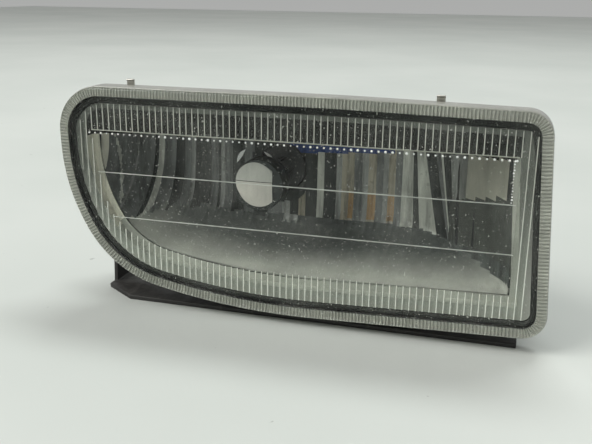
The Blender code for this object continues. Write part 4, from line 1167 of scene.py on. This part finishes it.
def build_glints():
    """Two white slivers above the bulb, painted highlights: one on the bowl and one on the shield's back
    edge.
    """
    # two ends (x, z), depth behind the lens's front (None on the bowl itself) and width, in millimetres
    glints = [((-41.7, 57.0), (-37.4, 63.6), None, 1.1), ((-19.8, 68.6), (-15.2, 64.6), 29.0, 0.7)]
    outer_bulge, inner_bulge = 1.3, 0.4
    slivers = []
    steps = 8
    for start, end, depth, width in glints:
        start, end = Vector(start), Vector(end)
        across = (end - start).orthogonal().normalized() * width
        shares = [i / steps for i in range(steps + 1)]
        line = [start.lerp(end, t) + across * math.sin(math.pi * t) * outer_bulge for t in shares]
        line += [start.lerp(end, t) - across * math.sin(math.pi * t) * inner_bulge for t in shares[-2:0:-1]]
        middle = start.lerp(end, 0.5)
        back = FRONT + dish_depth(middle.x * MM, middle.y * MM) - 0.9 * MM
        if depth:
            back = FRONT + depth * MM
        loops = [[Vector((p.x * MM, y, p.y * MM)) for p in line] for y in (back - 0.5 * MM, back)]
        slivers.append(loft("glint", loops))
    finished(joined("shield_glints", slivers), "lamp", "reflector_bright", GLINT)


# ================================================================ small parts and frame nodes


def build_clips():
    """Spring strips: a bent band with a rolled tip, standing behind the rim."""
    for side in ("left", "right"):
        piece = softened(f"lens_clip_{side}", f"spring_clip_{side}", 0.25 * MM)
        finished(piece, "lamp", "zinc_steel", ZINC, replaces=[f"lens_clip_{side}"])


def build_thread():
    """The thread on the aiming screw, as rings between its tip and the retaining groove."""
    low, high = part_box("aim_screw")
    axis = ((low.x + high.x) / 2, 0, (low.z + high.z) / 2)
    root, pitch, turns = 1.95 * MM, 1.2 * MM, 32
    crest = 2.1 * MM  # clears the nut's bore when the lamp is tilted
    start = low.y + 0.8 * MM
    profile = [(root, start)]
    for turn in range(turns):
        begin = start + turn * pitch
        profile += [(root, begin + 0.1 * pitch), (crest, begin + 0.5 * pitch), (root, begin + 0.9 * pitch)]
    finished(turned("screw_thread", profile, axis, sides=32), "screw", "zinc_steel", ZINC, angle=20)


HOUSING_RIBS = (-64, -48, -20, -4, 12, 28, 44, 72)  # x, in millimetres


def build_gussets():
    """Thin moulded ribs between the housing's front flange and its body, along the top."""
    front, length, half = 13.6 * MM, 15.0 * MM, 0.7 * MM  # depth of their front, length, half thickness
    flange_edge, body = outline(3.4 * MM, 0.0), outline(12.0 * MM, 0.0)
    ribs = []
    for x in HOUSING_RIBS:
        x *= MM
        top, low = heights_at(flange_edge, x)[1], heights_at(body, x)[1]
        shape = [(0.0, low), (length, low), (length, low + 0.5 * MM), (1.5 * MM, top), (0.0, top)]
        loops = [[Vector((at, FRONT + front + y, z)) for y, z in shape] for at in (x - half, x + half)]
        ribs.append(loft("rib", loops))
    piece = joined("housing_ribs", ribs)
    finished(piece, "lamp", "housing_black", HOUSING)


# node: new name, body, slot, material, width of its rounded edges in millimetres
SOFTENED = {
    "bracket": ("bracket_sheet", "base", "bracket_paint", PAINT, 0.5),
    "housing": ("housing_shell", "lamp", "housing_black", HOUSING, 0.0),
    "bulb_base": ("bulb_holder", "bulb", "bulb_black", PLUG_BLACK, 0.3),
    "pivot_bolt_left": ("hex_bolt_left", "base", "zinc_steel", ZINC, 0.25),
    "pivot_bolt_right": ("hex_bolt_right", "base", "zinc_steel", ZINC, 0.25),
    "aim_screw": ("aiming_screw", "screw", "zinc_steel", ZINC, 0.12),
    "breather_upper": ("vent_cap_upper", "lamp", "seal_black", SEAL, 0.4),
    "breather_lower": ("vent_cap_lower", "lamp", "seal_black", SEAL, 0.4),
}

# frame nodes that stay in view, by material
KEPT = [
    (NYLON, ["pivot_washer_left", "pivot_washer_right", "aim_bush", "aim_nut"]),
    (BRASS, ["pivot_insert_left", "pivot_insert_right", "terminal_left", "terminal_right"]),
    (ZINC, ["aim_screw_retainer", "shield_rivet", "filament_post_left", "filament_post_right"]),
    (SEAL, ["bulb_oring"]),
    (BULB_GLASS, ["bulb_glass"]),
    (TUNGSTEN, ["filament"]),
]


def build_softened():
    """The frame nodes whose shape is right, as copies with rounded edges."""
    for node, (name, body, slot, material, width) in SOFTENED.items():
        piece = softened(node, name, width * MM)
        finished(piece, body, slot, material, replaces=[node])


def dress_kept_nodes():
    """Gives the frame nodes that stay in view their materials."""
    for material, nodes in KEPT:
        for node in nodes:
            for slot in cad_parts[node].material_slots:
                slot.material = material


# ================================================================ the whole

add_camera()
add_floor()
add_lights()
build_glass()
build_rim()
build_window_edge(build_flutes())
build_flange()
build_seal()
build_facets()
build_shield()
build_glints()
build_clips()
build_thread()
build_gussets()
build_softened()
dress_kept_nodes()
